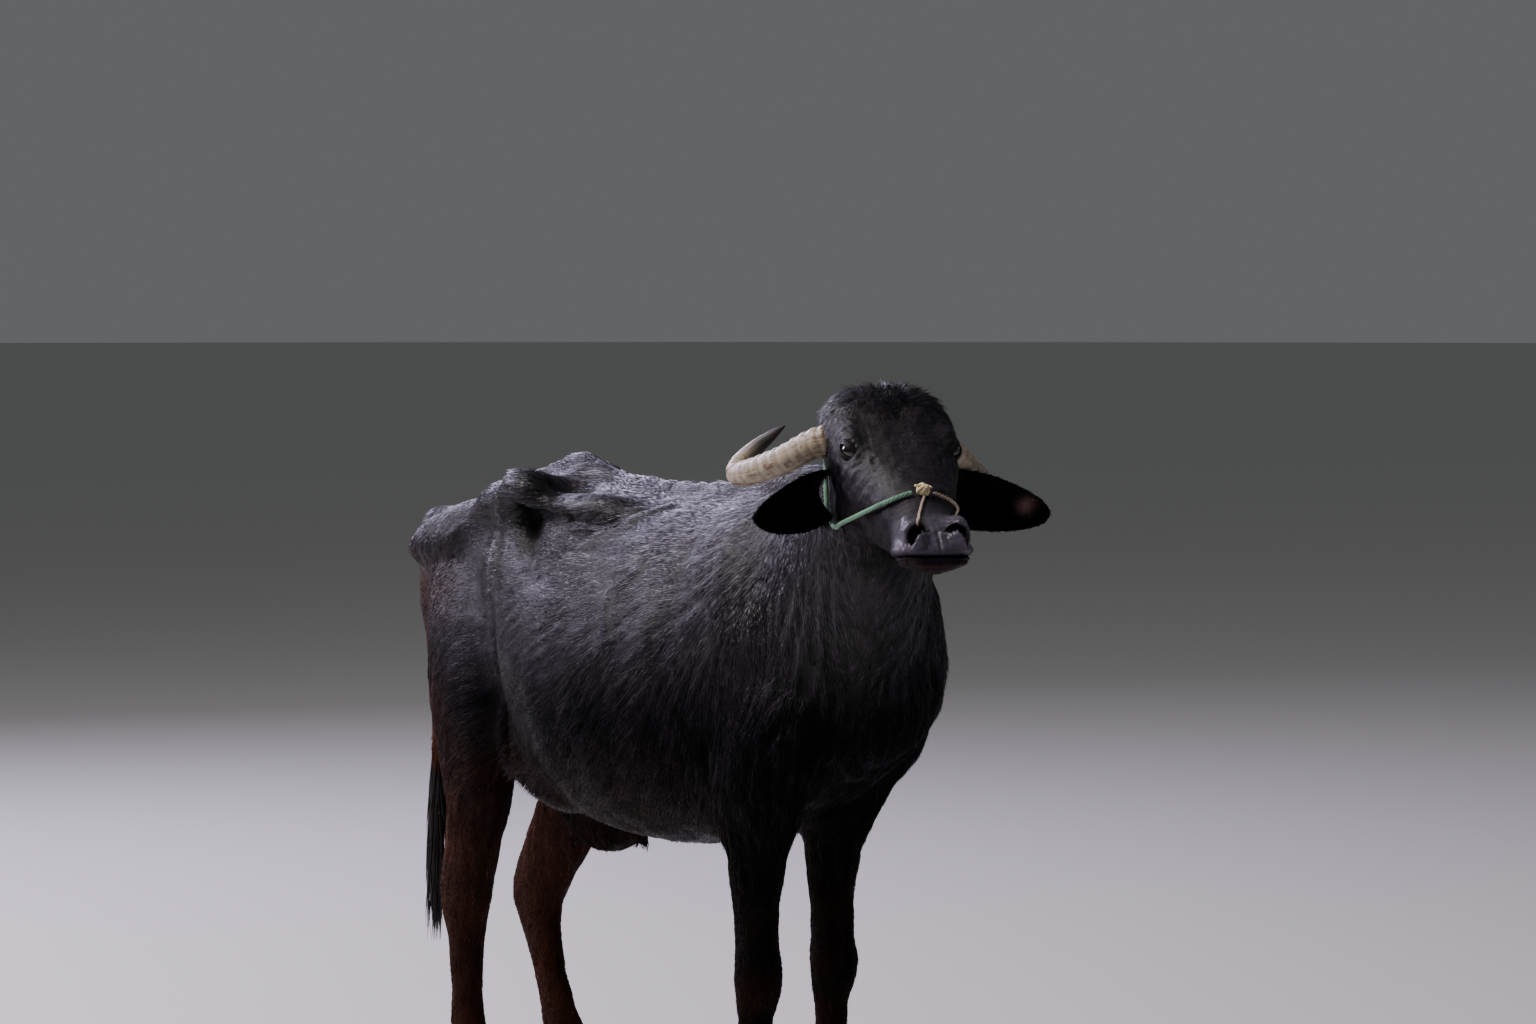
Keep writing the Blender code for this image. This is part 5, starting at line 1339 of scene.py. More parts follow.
# Twisted fibre cord: matt, with fine fibres along each strand
def cord_material(name, tint):
    material, tree, shader = new_material(name, 0.80, 1.50, Sheen_Weight=0.25)
    shader.inputs["Sheen Roughness"].default_value = 0.5
    spots = add_node(tree, "ShaderNodeTexCoord")
    # fibres about 0.5 mm thick, drawn at 1 mm so that they show
    fibre = add_node(tree, "ShaderNodeTexNoise", {"Vector": spots.outputs["Object"], "Scale": 900.0,
                                                  "Detail": 2.0})
    wear = add_node(tree, "ShaderNodeTexNoise", {"Vector": spots.outputs["Object"], "Scale": 60.0,
                                                 "Detail": 3.0})
    both = add_node(tree, "ShaderNodeMath", {0: fibre.outputs["Fac"], 1: wear.outputs["Fac"]},
                    operation="ADD")
    shade = add_node(tree, "ShaderNodeMapRange", {"Value": both.outputs["Value"], "From Min": 0.7,
                                                  "From Max": 1.3, "To Min": 0.55, "To Max": 1.25})
    final = add_node(tree, "ShaderNodeVectorMath", {0: tuple(tint), "Scale": shade.outputs["Result"]},
                     operation="SCALE")
    tree.links.new(final.outputs["Vector"], shader.inputs["Base Color"])
    bump = add_node(tree, "ShaderNodeBump", {"Strength": 0.6, "Distance": 0.0008,
                                             "Height": fibre.outputs["Fac"]})
    tree.links.new(bump.outputs["Normal"], shader.inputs["Normal"])
    return material


ROPE_MIDDLE = (-0.185, -0.140)
ROPE_NOSE = (0.164, -0.064)
ROPE_NAPE = (-0.245, 0.060)
ROPE_POINTS = 34
ROPE_START = 0.055
ROPE_END = 3.14159
ROPE_SAG = 0.140
ROPE_EASE = 8


def flesh_surface():
    """The outside of the frame's head and neck, without the faces in the cut between them."""
    cut = head_point(-0.150, 0.0, 0.0)
    shape = bmesh.new()
    for name in ("head", "neck"):
        shape.from_mesh(NODES[name].data)
    inner = [face for face in shape.faces
             if abs((face.calc_center_median() - cut).dot(SKIN_CUT_LOOK)) < 0.0016
             and abs(face.normal.dot(SKIN_CUT_LOOK)) > 0.99]
    bmesh.ops.delete(shape, geom=inner, context="FACES")
    tree = BVHTree.FromBMesh(shape)
    shape.free()
    return tree


def rope_path(tree, sign, radius, rest):
    """The rope's middle line over nose, cheek and nape, resting on the hide."""
    middle = head_point(ROPE_MIDDLE[0], 0.0, ROPE_MIDDLE[1])
    points = []
    for step in range(ROPE_POINTS + 1):
        turn = sign * (ROPE_START + (ROPE_END - ROPE_START) * (step / ROPE_POINTS) ** 1.6)
        end = ROPE_NOSE if math.cos(turn) > 0.0 else ROPE_NAPE
        ahead, upward = end[0] - ROPE_MIDDLE[0], end[1] - ROPE_MIDDLE[1]
        size = math.hypot(ahead, upward)
        way = HEAD_LEFT * math.sin(turn)
        way += (HEAD_FORWARD * ahead + UP * upward) / size * abs(math.cos(turn))
        if math.cos(turn) > 0.0:
            way -= UP * (ROPE_SAG * math.sin(2.0 * abs(turn)))
        hit, normal, _, _ = tree.ray_cast(middle, way.normalized())
        points.append(hit + normal * (radius + rest))
    for _ in range(ROPE_EASE):
        for before, index in enumerate(range(1, len(points) - 1)):
            chord = (points[before] + points[index + 1]) / 2
            if (chord - middle).length > (points[index] - middle).length:
                points[index] = chord
            hit, normal, _, _ = tree.find_nearest(points[index])
            if (points[index] - hit).dot(normal) < radius + rest:
                points[index] = hit + normal * (radius + rest)
    return points


def strands(name, path, radius, count, twist):
    """A rope of strands that wind round its path."""
    points = [Vector(point) for point in curve_points(path, max(40, int(len(path) * 14)))]
    meshes = []
    for strand in range(count):
        run, wound = 0.0, []
        for index, point in enumerate(points):
            before, after = points[max(index - 1, 0)], points[min(index + 1, len(points) - 1)]
            tangent = (after - before).normalized()
            side = tangent.cross(HEAD_UP).normalized()
            other = side.cross(tangent)
            if index:
                run += (point - points[index - 1]).length
            turn = 2 * math.pi * (run / twist + strand / count)
            wound.append(point + (side * math.cos(turn) + other * math.sin(turn)) * (radius * 0.46))
        meshes.append(loft("strand", tube_rings(wound, radius * 0.52, 7, HEAD_UP)))
    return joined(name, meshes)


def knot_mesh(centre, radius):
    """A small knot of twine: turns round the rope, crossed by others, with two short ends."""
    draw = random.Random(5)
    meshes = []
    for index in range(7):
        tilt = HEAD_LEFT * (1.0 if index % 2 else 0.25) + HEAD_AXIS * draw.uniform(-0.9, 0.9) \
            + HEAD_UP * draw.uniform(-0.5, 0.5)
        axis = tilt.normalized()
        side = axis.orthogonal().normalized()
        other = axis.cross(side)
        size = radius * draw.uniform(0.62, 0.86)
        middle = centre + HEAD_LEFT * (draw.uniform(-0.35, 0.35) * radius) \
            + HEAD_AXIS * (draw.uniform(-0.2, 0.45) * radius)
        path = [middle + (side * math.cos(turn) + other * math.sin(turn)) * size
                for turn in (2 * math.pi * step / 28 for step in range(29))]
        meshes.append(loft("turn", tube_rings(path, 0.0024, 8, axis)))
    for side in (-1, 1):
        start = centre + HEAD_LEFT * (0.4 * radius * side)
        path = [start + HEAD_LEFT * (side * 0.010 * t) + HEAD_UP * (0.006 * math.sin(2.4 * t))
                + HEAD_AXIS * (0.004 * t * side) for t in (step / 8 for step in range(9))]
        meshes.append(loft("end", tube_rings(path, 0.0020, 8, HEAD_AXIS)))
    return meshes


class BUFFALO_OT_ropes(bpy.types.Operator):
    """Makes the nose rope, its knot and the thin cords"""
    bl_idname = "buffalo.ropes"
    bl_label = "Nose rope"

    def execute(self, context):
        settings = context.scene.buffalo_ropes
        tree = flesh_surface()
        green = cord_material("nylon_rope_green", settings.green)
        cream = cord_material("cotton_twine_cream", settings.cream)
        tan = cord_material("jute_cord_tan", settings.tan)
        rope = strands("rope_green", rope_path(tree, -1.0, settings.radius, 0.0006),
                       settings.radius, 3, settings.twist)
        rope.data.materials.append(green)
        finish_piece(rope, ("nose_rope",), 0)
        thin = strands("cord_cheek", rope_path(tree, 1.0, settings.cord_radius, 0.0006),
                       settings.cord_radius, 2, settings.twist * 0.6)
        thin.data.materials.append(tan)
        finish_piece(thin, ("nose_rope_left",), 0)
        low, high = (Vector(corner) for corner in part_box("rope_knot"))
        knot = joined("knot_twine", knot_mesh((low + high) / 2, 0.0105))
        knot.data.materials.append(cream)
        finish_piece(knot, ("rope_knot",), 0)
        start = head_point(ROPE_NOSE[0] + 0.008, 0.0, ROPE_NOSE[1])
        end = head_point(0.256, -0.037, -0.116)
        path = []
        for step in range(10):
            guess = start.lerp(end, step / 9) + HEAD_UP * 0.092
            hit, normal, _, _ = tree.ray_cast(guess, -HEAD_UP)
            path.append(hit + normal * (settings.cord_radius + 0.0004))
        path.append(path[-1] - HEAD_UP * 0.006 + HEAD_AXIS * 0.002)
        cord = strands("cord_nostril", path, settings.cord_radius * 0.9, 2, settings.twist * 0.6)
        cord.data.materials.append(tan)
        finish_piece(cord, ("nose_cord",), 0)
        return {"FINISHED"}


FAN = (0.55, 1.32)         # x and height of the place that the barrel's hair leads away from


def lie_of_coat(points, normals):
    """The way the hair lies at each point, along the skin."""
    p = points - np.array(SHIFT)
    forward, left, up = head_places(points)
    count = len(points)
    # over the barrel it fans out from the withers
    way = np.stack([np.minimum(p[:, 0] - FAN[0], -0.05), np.zeros(count), p[:, 2] - FAN[1]], axis=1)
    way /= np.linalg.norm(way, axis=1)[:, None]
    top = smooth_step(p[:, 2], 1.17, 1.26)[:, None]
    way[:, 1] += (top[:, 0] * 0.5 * np.clip(p[:, 1] / 0.10, -1, 1))
    neck = smooth_step(p[:, 0], 0.15, 0.42)[:, None]
    way = way * (1 - neck) + np.array((-0.16, 0.0, -1.0)) * neck
    low = smooth_step(0.70 - p[:, 2], 0.0, 0.15)[:, None]
    way = way * (1 - low) + np.array((0.0, 0.0, -1.0)) * low
    rear = smooth_step(-p[:, 0], 0.55, 0.75)[:, None]
    way = way * (1 - rear) + np.array((-0.12, 0.0, -1.0)) * rear
    head = smooth_step(forward, -0.20, -0.08)[:, None]
    down = np.array(HEAD_AXIS) * 1.0 + np.array(UP) * -0.25
    side = np.sign(left)[:, None] * np.array(HEAD_LEFT) * np.clip(np.abs(left)[:, None] / 0.10, 0, 1)
    back = smooth_step(-forward, -0.02, 0.08)[:, None]
    face = down * (1 - back) + (np.array(UP) * -1.0 + side * 0.4) * back
    way = way * (1 - head) + face * head
    for name in SIDES:
        share = ear_places(points, name)[0][:, None]
        way = way * (1 - share) + np.array(ear_frame(name)[1]) * share
    swirl = 0.14 * waves(points, 0.11, 41)[:, None] + 0.07 * waves(points, 0.03, 42)[:, None]
    way = way - normals * (way * normals).sum(axis=1)[:, None]
    way /= np.maximum(np.linalg.norm(way, axis=1), 1e-6)[:, None]
    way = way + np.cross(normals, way) * swirl
    return way / np.maximum(np.linalg.norm(way, axis=1), 1e-6)[:, None]


def coat_measures(points):
    """Length of the hair, how far it stands up and how much of it grows at each point."""
    p = points - np.array(SHIFT)
    forward, left, up = head_places(points)
    reach = 0.024 + 0.004 * waves(points, 0.10, 51)
    reach = reach * (1 - 0.35 * smooth_step(-p[:, 0], 0.40, 0.70))
    low = smooth_step(0.62 - p[:, 2], 0.0, 0.18)
    reach = reach * (1 - low) + 0.011 * low
    face = smooth_step(forward, -0.13, 0.0)
    reach = reach * (1 - face) + 0.0062 * face
    stand = 0.09 + 0.04 * waves(points, 0.05, 52)
    grow = 1.0 - 0.15 * low
    crown = swell(points, head_point(-0.115, 0.0, 0.085), (0.095, 0.085, 0.060), HEAD_AXIS)
    crown = np.clip(1.5 * crown, 0.0, 1.0)
    reach = reach * (1 - crown) + 0.021 * crown
    stand = stand * (1 - crown) + 0.75 * crown
    grow = grow + 0.9 * crown
    line = mouth_height(forward)
    muzzle = smooth_step(forward + 0.30 * (up + 0.12), 0.190, 0.230) * smooth_step(up - line, -0.004, 0.006)
    grow = grow * (1.0 - muzzle)
    grow = grow * (1.0 - np.exp(-((up - line) / 0.005) ** 2) * smooth_step(forward, 0.10, 0.14))
    reach = reach * (1 - 0.35 * smooth_step(forward, 0.1, 0.2))
    # longer hair under the jaw, on the fold of the flank, behind the elbows and under the belly
    jaw = smooth_step(-0.19 - up, 0.0, 0.03) * smooth_step(forward, -0.2, -0.05) * (forward < 0.2)
    sided = np.stack([p[:, 0], np.abs(p[:, 1]), p[:, 2]], axis=1)
    fringe = swell(sided, (-0.425, 0.200, 0.690), (0.070, 0.060, 0.075))
    fringe = np.clip(fringe + 0.5 * swell(sided, (0.235, 0.190, 0.660), (0.06, 0.06, 0.05)), 0, 1)
    reach = reach + 0.010 * jaw + 0.024 * fringe
    stand = stand + 0.12 * fringe
    for name, sign in SIDES.items():
        lids = np.linalg.norm(points - np.array(head_point(0.0, EYE_SIDE * sign, 0.0)), axis=1)
        grow = grow * smooth_step(lids, EYE_RADIUS + 0.003, EYE_RADIUS + 0.010)
        share, t, s = ear_places(points, name)
        reach = reach * (1 - share) + (0.008 + 0.006 * smooth_step(np.abs(s), 0.7, 1.0)) * share
        stand = stand + 0.10 * share
    for sign in SIDES.values():
        grow = grow * smooth_step(nostril_measure(points, sign), 1.2, 1.9)
    return np.clip(reach, 0.003, 0.06), np.clip(stand, 0.0, 1.4), np.clip(grow, 0.0, 2.0)


def tuft_mesh():
    """One closed wisp of hair, a unit long, thickest before its middle."""
    shape = bmesh.new()
    root = shape.verts.new((0.0, 0.0, -0.35))
    tip = shape.verts.new((0.0, 1.0, 0.15))
    rim = [shape.verts.new(spot) for spot in ((-0.5, 0.42, -0.15), (0.5, 0.42, -0.15),
                                              (0.0, 0.42, 0.50))]
    for step in range(3):
        after = (step + 1) % 3
        shape.faces.new((root, rim[after], rim[step]))
        shape.faces.new((rim[step], rim[after], tip))
    return mesh_from_bmesh("tuft", shape)


def coat_tree():
    """Geometry nodes that grow tufts on a skin, along the lie of its coat."""
    tree = bpy.data.node_groups.new("coat_tufts", "GeometryNodeTree")
    face = tree.interface
    face.new_socket("Geometry", in_out="INPUT", socket_type="NodeSocketGeometry")
    face.new_socket("Tuft", in_out="INPUT", socket_type="NodeSocketObject")
    face.new_socket("Finish", in_out="INPUT", socket_type="NodeSocketMaterial")
    for title in ("Density", "Width", "Depth", "Scatter"):
        face.new_socket(title, in_out="INPUT", socket_type="NodeSocketFloat")
    face.new_socket("Seed", in_out="INPUT", socket_type="NodeSocketInt")
    face.new_socket("Geometry", in_out="OUTPUT", socket_type="NodeSocketGeometry")
    given = add_node(tree, "NodeGroupInput").outputs

    def field(name, kind):
        return add_node(tree, "GeometryNodeInputNamedAttribute", {"Name": name},
                        data_type=kind).outputs["Attribute"]

    def chance(low, high, salt):
        return add_node(tree, "FunctionNodeRandomValue", {2: low, 3: high, "Seed": salt},
                        data_type="FLOAT").outputs[1]

    def maths(first, second, operation="MULTIPLY"):
        return add_node(tree, "ShaderNodeMath", {0: first, 1: second},
                        operation=operation).outputs["Value"]

    grown = maths(field("grow", "FLOAT"), given["Density"])
    spread = add_node(tree, "GeometryNodeDistributePointsOnFaces",
                      {"Mesh": given["Geometry"], "Density": grown, "Seed": given["Seed"]})
    upright = add_node(tree, "FunctionNodeAlignRotationToVector",
                       {"Vector": spread.outputs["Normal"]}, axis="Z")
    laid = add_node(tree, "FunctionNodeAlignRotationToVector",
                    {"Rotation": upright.outputs["Rotation"], "Vector": field("lie", "FLOAT_VECTOR")},
                    axis="Y", pivot_axis="Z")
    tilt = maths(field("stand", "FLOAT"), chance(0.5, 1.4, 1))
    swing = maths(chance(-1.0, 1.0, 2), given["Scatter"])
    turned = add_node(tree, "ShaderNodeCombineXYZ", {"X": tilt, "Y": chance(-0.5, 0.5, 3), "Z": swing})
    turn = add_node(tree, "FunctionNodeEulerToRotation", {"Euler": turned.outputs["Vector"]})
    rotation = add_node(tree, "FunctionNodeRotateRotation",
                        {"Rotation": laid.outputs["Rotation"], "Rotate By": turn.outputs["Rotation"]},
                        rotation_space="LOCAL")
    size = add_node(tree, "ShaderNodeCombineXYZ",
                    {"X": maths(given["Width"], chance(0.7, 1.3, 4)),
                     "Y": maths(field("reach", "FLOAT"), chance(0.6, 1.25, 5)),
                     "Z": maths(given["Depth"], chance(0.6, 1.3, 6))})
    tuft = add_node(tree, "GeometryNodeObjectInfo", {"Object": given["Tuft"]})
    placed = add_node(tree, "GeometryNodeInstanceOnPoints",
                      {"Points": spread.outputs["Points"], "Instance": tuft.outputs["Geometry"],
                       "Rotation": rotation.outputs["Rotation"], "Scale": size.outputs["Vector"]})
    real = add_node(tree, "GeometryNodeRealizeInstances", {"Geometry": placed.outputs["Instances"]})
    dressed = add_node(tree, "GeometryNodeSetMaterial", {"Geometry": real.outputs["Geometry"],
                                                         "Material": given["Finish"]})
    add_node(tree, "NodeGroupOutput", {"Geometry": dressed.outputs["Geometry"]})
    return tree


def chart(points):
    """Places on a flat unwrap of the hide: each part of the body is rolled out on its own patch."""
    p = points - np.array(SHIFT)
    forward, left, up = head_places(points)
    spots = np.zeros((len(p), 2))
    round_trunk = np.arctan2(p[:, 1], p[:, 2] - 0.95) / (2 * math.pi) + 0.5
    spots[:, 0] = 0.02 + 0.60 * np.clip((p[:, 0] + 1.0) / 2.0, 0, 1)
    spots[:, 1] = 0.02 + 0.60 * round_trunk
    head = forward > SKIN_CUT_BACK - 0.03
    around = np.arctan2(left, up + 0.07) / (2 * math.pi) + 0.5
    spots[head, 0] = 0.66 + 0.32 * np.clip((forward[head] + 0.28) / 0.62, 0, 1)
    spots[head, 1] = 0.02 + 0.55 * around[head]
    low = (p[:, 2] < 0.66) & ~head
    number = (p[:, 1] > 0).astype(int) + 2 * (p[:, 0] > -0.2).astype(int)
    for index, (x, y) in enumerate(((-0.66, -0.15), (-0.70, 0.145), (0.32, -0.13), (0.20, 0.13))):
        leg = low & (number == index)
        round_leg = np.arctan2(p[leg, 1] - y, p[leg, 0] - x) / (2 * math.pi) + 0.5
        spots[leg, 0] = 0.02 + 0.24 * index + 0.22 * round_leg
        spots[leg, 1] = 0.66 + 0.32 * np.clip(p[leg, 2] / 0.66, 0, 1)
    ears = head & (np.abs(left) > 0.125)
    back = (forward[ears] > EAR_ROOT[0]).astype(float)
    spots[ears, 0] = 0.66 + 0.15 * (left[ears] > 0) + 0.07 * back + 0.25 * (up[ears] + 0.16)
    spots[ears, 1] = 0.60 + 0.055 + 0.9 * (np.abs(left[ears]) - 0.12) * 0.3
    return spots


SPOT = 0.003               # size of a tuft's patch on the unwrap


def map_tufts(mesh, corners):
    """Gives each tuft a patch of the unwrap, at its root's place."""
    points = read_points(mesh)
    count = len(points) // corners
    roots = points.reshape(count, corners, 3)[:, 0]
    centre = np.repeat(chart(roots), corners, axis=0)
    turn = 2 * math.pi * np.arange(corners) / corners
    ringed = np.stack([np.cos(turn), np.sin(turn)], axis=1) * SPOT / 2
    spots = centre + np.tile(ringed, (count, 1))
    layer = mesh.uv_layers.new(name="OFBake")
    loops = np.empty(len(mesh.loops), dtype=int)
    mesh.loops.foreach_get("vertex_index", loops)
    layer.data.foreach_set("uv", spots[loops].ravel())


def streaked(roots, ways, seed, count=220):
    """Uneven values at places on the skin, drawn out in streaks along the way of the hair."""
    draw = np.random.default_rng(seed)
    total = np.zeros(len(roots))
    for _ in range(count):
        way = draw.normal(size=3)
        way *= 2 * math.pi / (draw.uniform(*STREAK_WIDTHS) * np.linalg.norm(way))
        along = (ways @ way) * STREAK_LENGTH / 2
        total += np.sin(roots @ way + draw.uniform(0, 2 * math.pi)) * np.sinc(along / math.pi)
    return total / max(total.std(), 1e-6)


def shade_tufts(mesh, corners, seed):
    """Makes the tufts lighter and darker in streaks, and each one lighter towards its tip."""
    count = len(mesh.vertices) // corners
    points = read_points(mesh).reshape(count, corners, 3)
    ways = points[:, 1] - points[:, 0]
    ways /= np.maximum(np.linalg.norm(ways, axis=1), 1e-9)[:, None]
    streak = streaked(points[:, 0], ways, seed)
    layer = mesh.attributes["tone"]
    tone = np.empty(len(mesh.vertices) * 4, dtype=np.float32)
    layer.data.foreach_get("color", tone)
    tone = tone.reshape(count, corners, 4)
    draw = np.random.default_rng(seed + 100)
    shade = np.exp(0.50 * np.clip(streak, -2.2, 2.4) + 0.18 * draw.normal(size=count))
    ends = np.ones(corners)
    ends[0], ends[1] = 0.6, 1.35
    tone[:, :, :3] *= shade[:, None, None] * ends[None, :, None]
    layer.data.foreach_set("color", np.clip(tone, 0.0, 1.0).ravel())
    shine = np.empty(len(mesh.vertices), dtype=np.float32)
    gloss = mesh.attributes["shine"]
    gloss.data.foreach_get("value", shine)
    streaks = np.exp(0.34 * np.clip(streak, -2.2, 2.0) + 0.16 * draw.normal(size=count))
    shine = shine.reshape(count, corners) * streaks[:, None]
    gloss.data.foreach_set("value", np.clip(shine, 0.0, 1.0).ravel())


SLEEK = 0.62               # share of the skin's normal in the hair's shading
STREAK_WIDTHS = (0.007, 0.030)
STREAK_LENGTH = 0.110


def grow_coat(name, skin, mask, tree, tuft, material, density, width, depth, scatter, seed):
    """Grows one piece of the coat where the mask is set, as a plain mesh."""
    points = read_points(skin.data)
    normals = read_normals(skin.data)
    reach, stand, grow = coat_measures(points)
    set_attribute(skin.data, "reach", "FLOAT", reach)
    set_attribute(skin.data, "stand", "FLOAT", stand)
    set_attribute(skin.data, "grow", "FLOAT", grow * mask)
    set_attribute(skin.data, "lie", "FLOAT_VECTOR", lie_of_coat(points, normals))
    set_attribute(skin.data, "skin_normal", "FLOAT_VECTOR", evened(skin.data, normals, 6))
    set_attribute(skin.data, "shine", "FLOAT", coat_shine(points, normals))
    coat = new_object(name, skin.data.copy())
    modifier = coat.modifiers.new("coat", "NODES")
    modifier.node_group = tree
    keys = {item.name: item.identifier for item in tree.interface.items_tree
            if item.in_out == "INPUT"}
    for title, value in (("Tuft", tuft), ("Finish", material), ("Density", density),
                         ("Width", width), ("Depth", depth), ("Scatter", scatter), ("Seed", seed)):
        modifier[keys[title]] = value
    settled(coat)
    if not coat.data.polygons:
        raise RuntimeError("no hair grew on " + name)
    map_tufts(coat.data, len(tuft.data.vertices))
    shade_tufts(coat.data, len(tuft.data.vertices), seed)
    skin_normals = np.empty(len(coat.data.vertices) * 3, dtype=np.float32)
    coat.data.attributes["skin_normal"].data.foreach_get("vector", skin_normals)
    skin_normals = skin_normals.reshape(-1, 3)
    for extra in ("reach", "stand", "grow", "lie", "dull", "skin_normal"):
        layer = coat.data.attributes.get(extra)
        if layer:
            coat.data.attributes.remove(layer)
    finish_piece(coat, (), 0)
    # sleek hair shines like the skin under it, so its shading leans to the skin's
    blend = SLEEK * skin_normals + (1.0 - SLEEK) * read_normals(coat.data)
    blend /= np.maximum(np.linalg.norm(blend, axis=1), 1e-6)[:, None]
    coat.data.normals_split_custom_set_from_vertices(blend)
    print("coat", name, len(coat.data.vertices) // len(tuft.data.vertices))
    return coat


class CoatSettings(bpy.types.PropertyGroup):
    density: FloatProperty(name="Density", description="Tufts to a square metre of the body",
                           default=40000.0)
    face_density: FloatProperty(name="Face density", description="Tufts to a square metre of the head",
                                default=52000.0)
    width: FloatProperty(name="Width", description="Width of a tuft on the body", default=0.0017,
                         unit="LENGTH")
    face_width: FloatProperty(name="Face width", description="Width of a tuft on the head",
                              default=0.0012, unit="LENGTH")
    depth: FloatProperty(name="Depth", description="How thick a tuft lies", default=0.0014,
                         unit="LENGTH")
    scatter: FloatProperty(name="Scatter", description="How far tufts turn from the lie",
                           default=0.13, subtype="ANGLE")


class BUFFALO_OT_coat(bpy.types.Operator):
    """Grows the short coat on the body, legs, head and ears"""
    bl_idname = "buffalo.coat"
    bl_label = "Coat"

    def execute(self, context):
        settings = context.scene.buffalo_coat
        tree, material = coat_tree(), hair_material()
        tuft = new_object("tuft", tuft_mesh())
        body, head = bpy.data.objects["hide_body"], bpy.data.objects["hide_head"]
        p = read_points(body.data) - np.array(SHIFT)
        side = (p[:, 1] > 0).astype(float)
        high = (p[:, 2] >= 0.66).astype(float)
        fore = (p[:, 0] > 0.08).astype(float) * high
        rear = (p[:, 0] < -0.42).astype(float) * high
        neck = (p[:, 0] > 0.42).astype(float) * high
        barrel = high - fore - rear
        front = (p[:, 0] > 0.0).astype(float) * (1 - high)
        masks = {"coat_barrel_right": (1 - side) * barrel, "coat_barrel_left": side * barrel,
                 "coat_rump_right": (1 - side) * rear, "coat_rump_left": side * rear,
                 "coat_shoulder_right": (1 - side) * (fore - neck),
                 "coat_shoulder_left": side * (fore - neck), "coat_neck": neck,
                 "coat_forelegs": front, "coat_hindlegs": (1 - high) - front}
        for seed, (name, mask) in enumerate(masks.items()):
            grow_coat(name, body, mask, tree, tuft, material, settings.density, settings.width,
                      settings.depth, settings.scatter, seed + 1)
        grow_coat("coat_head", head, np.ones(len(head.data.vertices)), tree, tuft, material,
                  settings.face_density, settings.face_width, settings.depth * 0.6,
                  settings.scatter, 9)
        drop(tuft)
        return {"FINISHED"}


SWITCH_CORE = [(-0.9355, -0.056, 0.735, 0.0175), (-0.932, -0.061, 0.675, 0.0170), (-0.929, -0.067, 0.590, 0.0150),
               (-0.927, -0.071, 0.520, 0.0120), (-0.925, -0.074, 0.450, 0.0070)]


class SwitchSettings(bpy.types.PropertyGroup):
    locks: IntProperty(name="Locks", description="Locks of hair in the tail's switch", default=340)
    length: FloatProperty(name="Length", description="Length of a lock", default=0.165,
                          unit="LENGTH")
    breadth: FloatProperty(name="Breadth", description="Half the breadth of a lock",
                           default=0.0021, unit="LENGTH")
    dark: FloatVectorProperty(name="Dark", description="Colour of the tail's hair",
                              default=colour("#1b1718"), subtype="COLOR")


class BUFFALO_OT_switch(bpy.types.Operator):
    """Makes the long hair at the end of the tail"""
    bl_idname = "buffalo.switch"
    bl_label = "Tail switch"

    def execute(self, context):
        settings = context.scene.buffalo_switch
        draw = random.Random(17)
        core = curve_points(SWITCH_CORE, 60)
        lowest = Vector(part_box("tail_switch")[0]).z
        meshes = []
        for index in range(settings.locks):
            at = draw.uniform(0.0, 0.94) ** 1.1
            row = core[int(at * 59)]
            turn = draw.uniform(0, 2 * math.pi)
            out = Vector((math.cos(turn), math.sin(turn), 0.0))
            start = place(*row[:3]) + out * (row[3] * 0.55)
            length = min(settings.length * draw.uniform(0.75, 1.15), start.z - lowest - 0.002)
            bend = Vector((draw.uniform(-0.009, 0.006), draw.uniform(-0.008, 0.008), 0.0))
            wave = draw.uniform(0.0, 6.0)
            path, radii = [], []
            for step in range(9):
                t = step / 8
                path.append(start + out * (0.0075 * math.sin(2.3 * t)) - UP * (length * t)
                            + bend * (t * t) + out.cross(UP) * (0.0022 * math.sin(5 * t + wave)))
                radii.append(settings.breadth * (0.5 + 0.8 * t if t < 0.6 else 1.0 - 0.9 * (t - 0.6) / 0.4)
                             * draw.uniform(0.85, 1.1))
            meshes.append(loft("lock", tube_rings(path, radii, 5, out, 0.45)))
        switch = joined("tail_hair", meshes)
        switch.data.materials.append(hair_material())
        count = len(switch.data.vertices)
        tone = np.tile(np.array((*settings.dark, 1.0)), (count, 1))
        set_attribute(switch.data, "tone", "FLOAT_COLOR", tone)
        set_attribute(switch.data, "shine", "FLOAT", np.full(count, 0.25))
        finish_piece(switch, ("tail_switch",), 0)
        return {"FINISHED"}


class StageSettings(bpy.types.PropertyGroup):
    floor_size: FloatProperty(name="Floor size", description="Radius of the floor", default=90.0,
                              unit="LENGTH")
    focal: FloatProperty(name="Focal length", description="Lens of the camera, in millimetres",
                         default=36.0 * 6073.0 / 1536.0)
    floor: FloatVectorProperty(name="Floor", description="Colour of the floor",
                               default=colour("#c4c3bf"), subtype="COLOR")
    camera: FloatVectorProperty(name="Camera", description="Place of the camera on the drawing",
                                default=(9.6164, -6.4844, 1.750), subtype="XYZ")
    target: FloatVectorProperty(name="Target", description="What the camera looks at",
                                default=(0.053, 0.079, 1.225), subtype="XYZ")


# Lights: place, size, strength and colour
LIGHTS = [
    ((-1.0, -4.5, 7.2), 3.4, 760.0, "#faf3f2"),
    ((-7.5, 0.8, 5.2), 2.4, 520.0, "#e2dcff"),
    ((-7.0, -5.0, 4.4), 2.0, 560.0, "#f0e4ff"),
    ((8.0, -1.5, 3.0), 3.0, 40.0, "#e4ecff"),
]


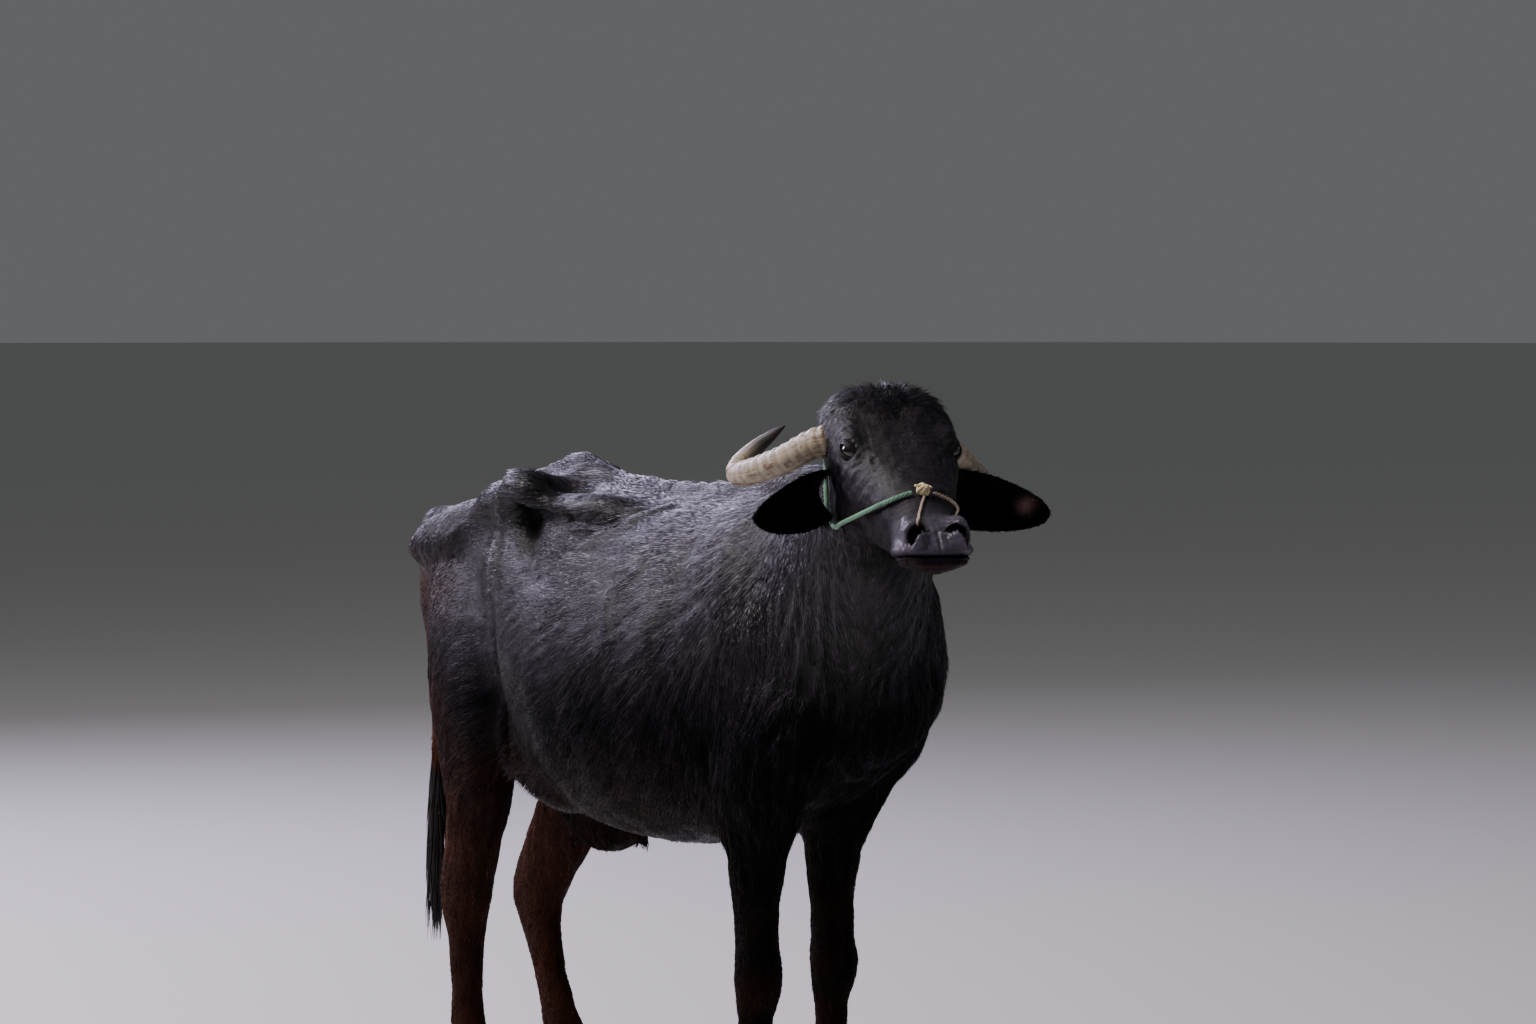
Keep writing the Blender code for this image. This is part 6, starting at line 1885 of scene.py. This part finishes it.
class BUFFALO_OT_stage(bpy.types.Operator):
    """Sets the floor, the soft lights and the camera"""
    bl_idname = "buffalo.stage"
    bl_label = "Stage"

    def execute(self, context):
        settings = context.scene.buffalo_stage
        shape = bmesh.new()
        bmesh.ops.create_circle(shape, cap_ends=True, segments=96, radius=settings.floor_size)
        material, tree, shader = new_material("studio_floor_paint", 0.7)
        shader.inputs["Base Color"].default_value = (*settings.floor, 1.0)
        floor = new_object("studio_floor", mesh_from_bmesh("floor", shape), material)
        world = bpy.data.worlds.new("studio")
        context.scene.world = world
        world.use_nodes = True
        back = world.node_tree.nodes["Background"]
        back.inputs["Color"].default_value = (*colour("#dfe2e6"), 1.0)
        back.inputs["Strength"].default_value = 0.17
        aim = place(0.0, -0.05, 0.85)
        for index, (spot, size, power, code) in enumerate(LIGHTS):
            lamp = bpy.data.lights.new("softbox_%d" % index, "AREA")
            lamp.shape, lamp.size, lamp.energy = "SQUARE", size, power
            lamp.color = colour(code)
            light = bpy.data.objects.new(lamp.name, lamp)
            context.scene.collection.objects.link(light)
            light.location = place(*spot)
            light.rotation_euler = (aim - light.location).to_track_quat("-Z", "Y").to_euler()
        lens = bpy.data.cameras.new("camera")
        camera = bpy.data.objects.new("camera", lens)
        context.scene.collection.objects.link(camera)
        lens.lens, lens.sensor_width = settings.focal, 36.0
        camera.location = place(*settings.camera)
        look = place(*settings.target) - camera.location
        camera.rotation_euler = look.to_track_quat("-Z", "Y").to_euler()
        context.scene.camera = camera
        return {"FINISHED"}


class BUFFALO_PT_panel(bpy.types.Panel):
    bl_label = "Water Buffalo"
    bl_idname = "BUFFALO_PT_panel"
    bl_space_type = "VIEW_3D"
    bl_region_type = "UI"
    bl_category = "Buffalo"

    def draw(self, context):
        for operator in OPERATORS:
            self.layout.operator(operator.bl_idname)
        for name, group in SETTINGS.items():
            box = self.layout.box()
            for key in group.__annotations__:
                box.prop(getattr(context.scene, name), key)


SETTINGS = {"buffalo_hide": HideSettings, "buffalo_lids": LidSettings,
            "buffalo_horns": HornSettings, "buffalo_hooves": HoofSettings,
            "buffalo_ropes": RopeSettings, "buffalo_coat": CoatSettings,
            "buffalo_switch": SwitchSettings, "buffalo_stage": StageSettings}
OPERATORS = [BUFFALO_OT_stage, BUFFALO_OT_hide, BUFFALO_OT_eyes, BUFFALO_OT_horns,
             BUFFALO_OT_hooves, BUFFALO_OT_ropes, BUFFALO_OT_switch, BUFFALO_OT_coat]


def register():
    for item in list(SETTINGS.values()) + OPERATORS + [BUFFALO_PT_panel]:
        bpy.utils.register_class(item)
    for name, group in SETTINGS.items():
        setattr(bpy.types.Scene, name, PointerProperty(type=group))


def unregister():
    for name in SETTINGS:
        delattr(bpy.types.Scene, name)
    for item in reversed(list(SETTINGS.values()) + OPERATORS + [BUFFALO_PT_panel]):
        bpy.utils.unregister_class(item)


def main():
    register()
    for operator in OPERATORS:
        group, name = operator.bl_idname.split(".")
        getattr(getattr(bpy.ops, group), name)()


if __name__ == "__main__":
    main()
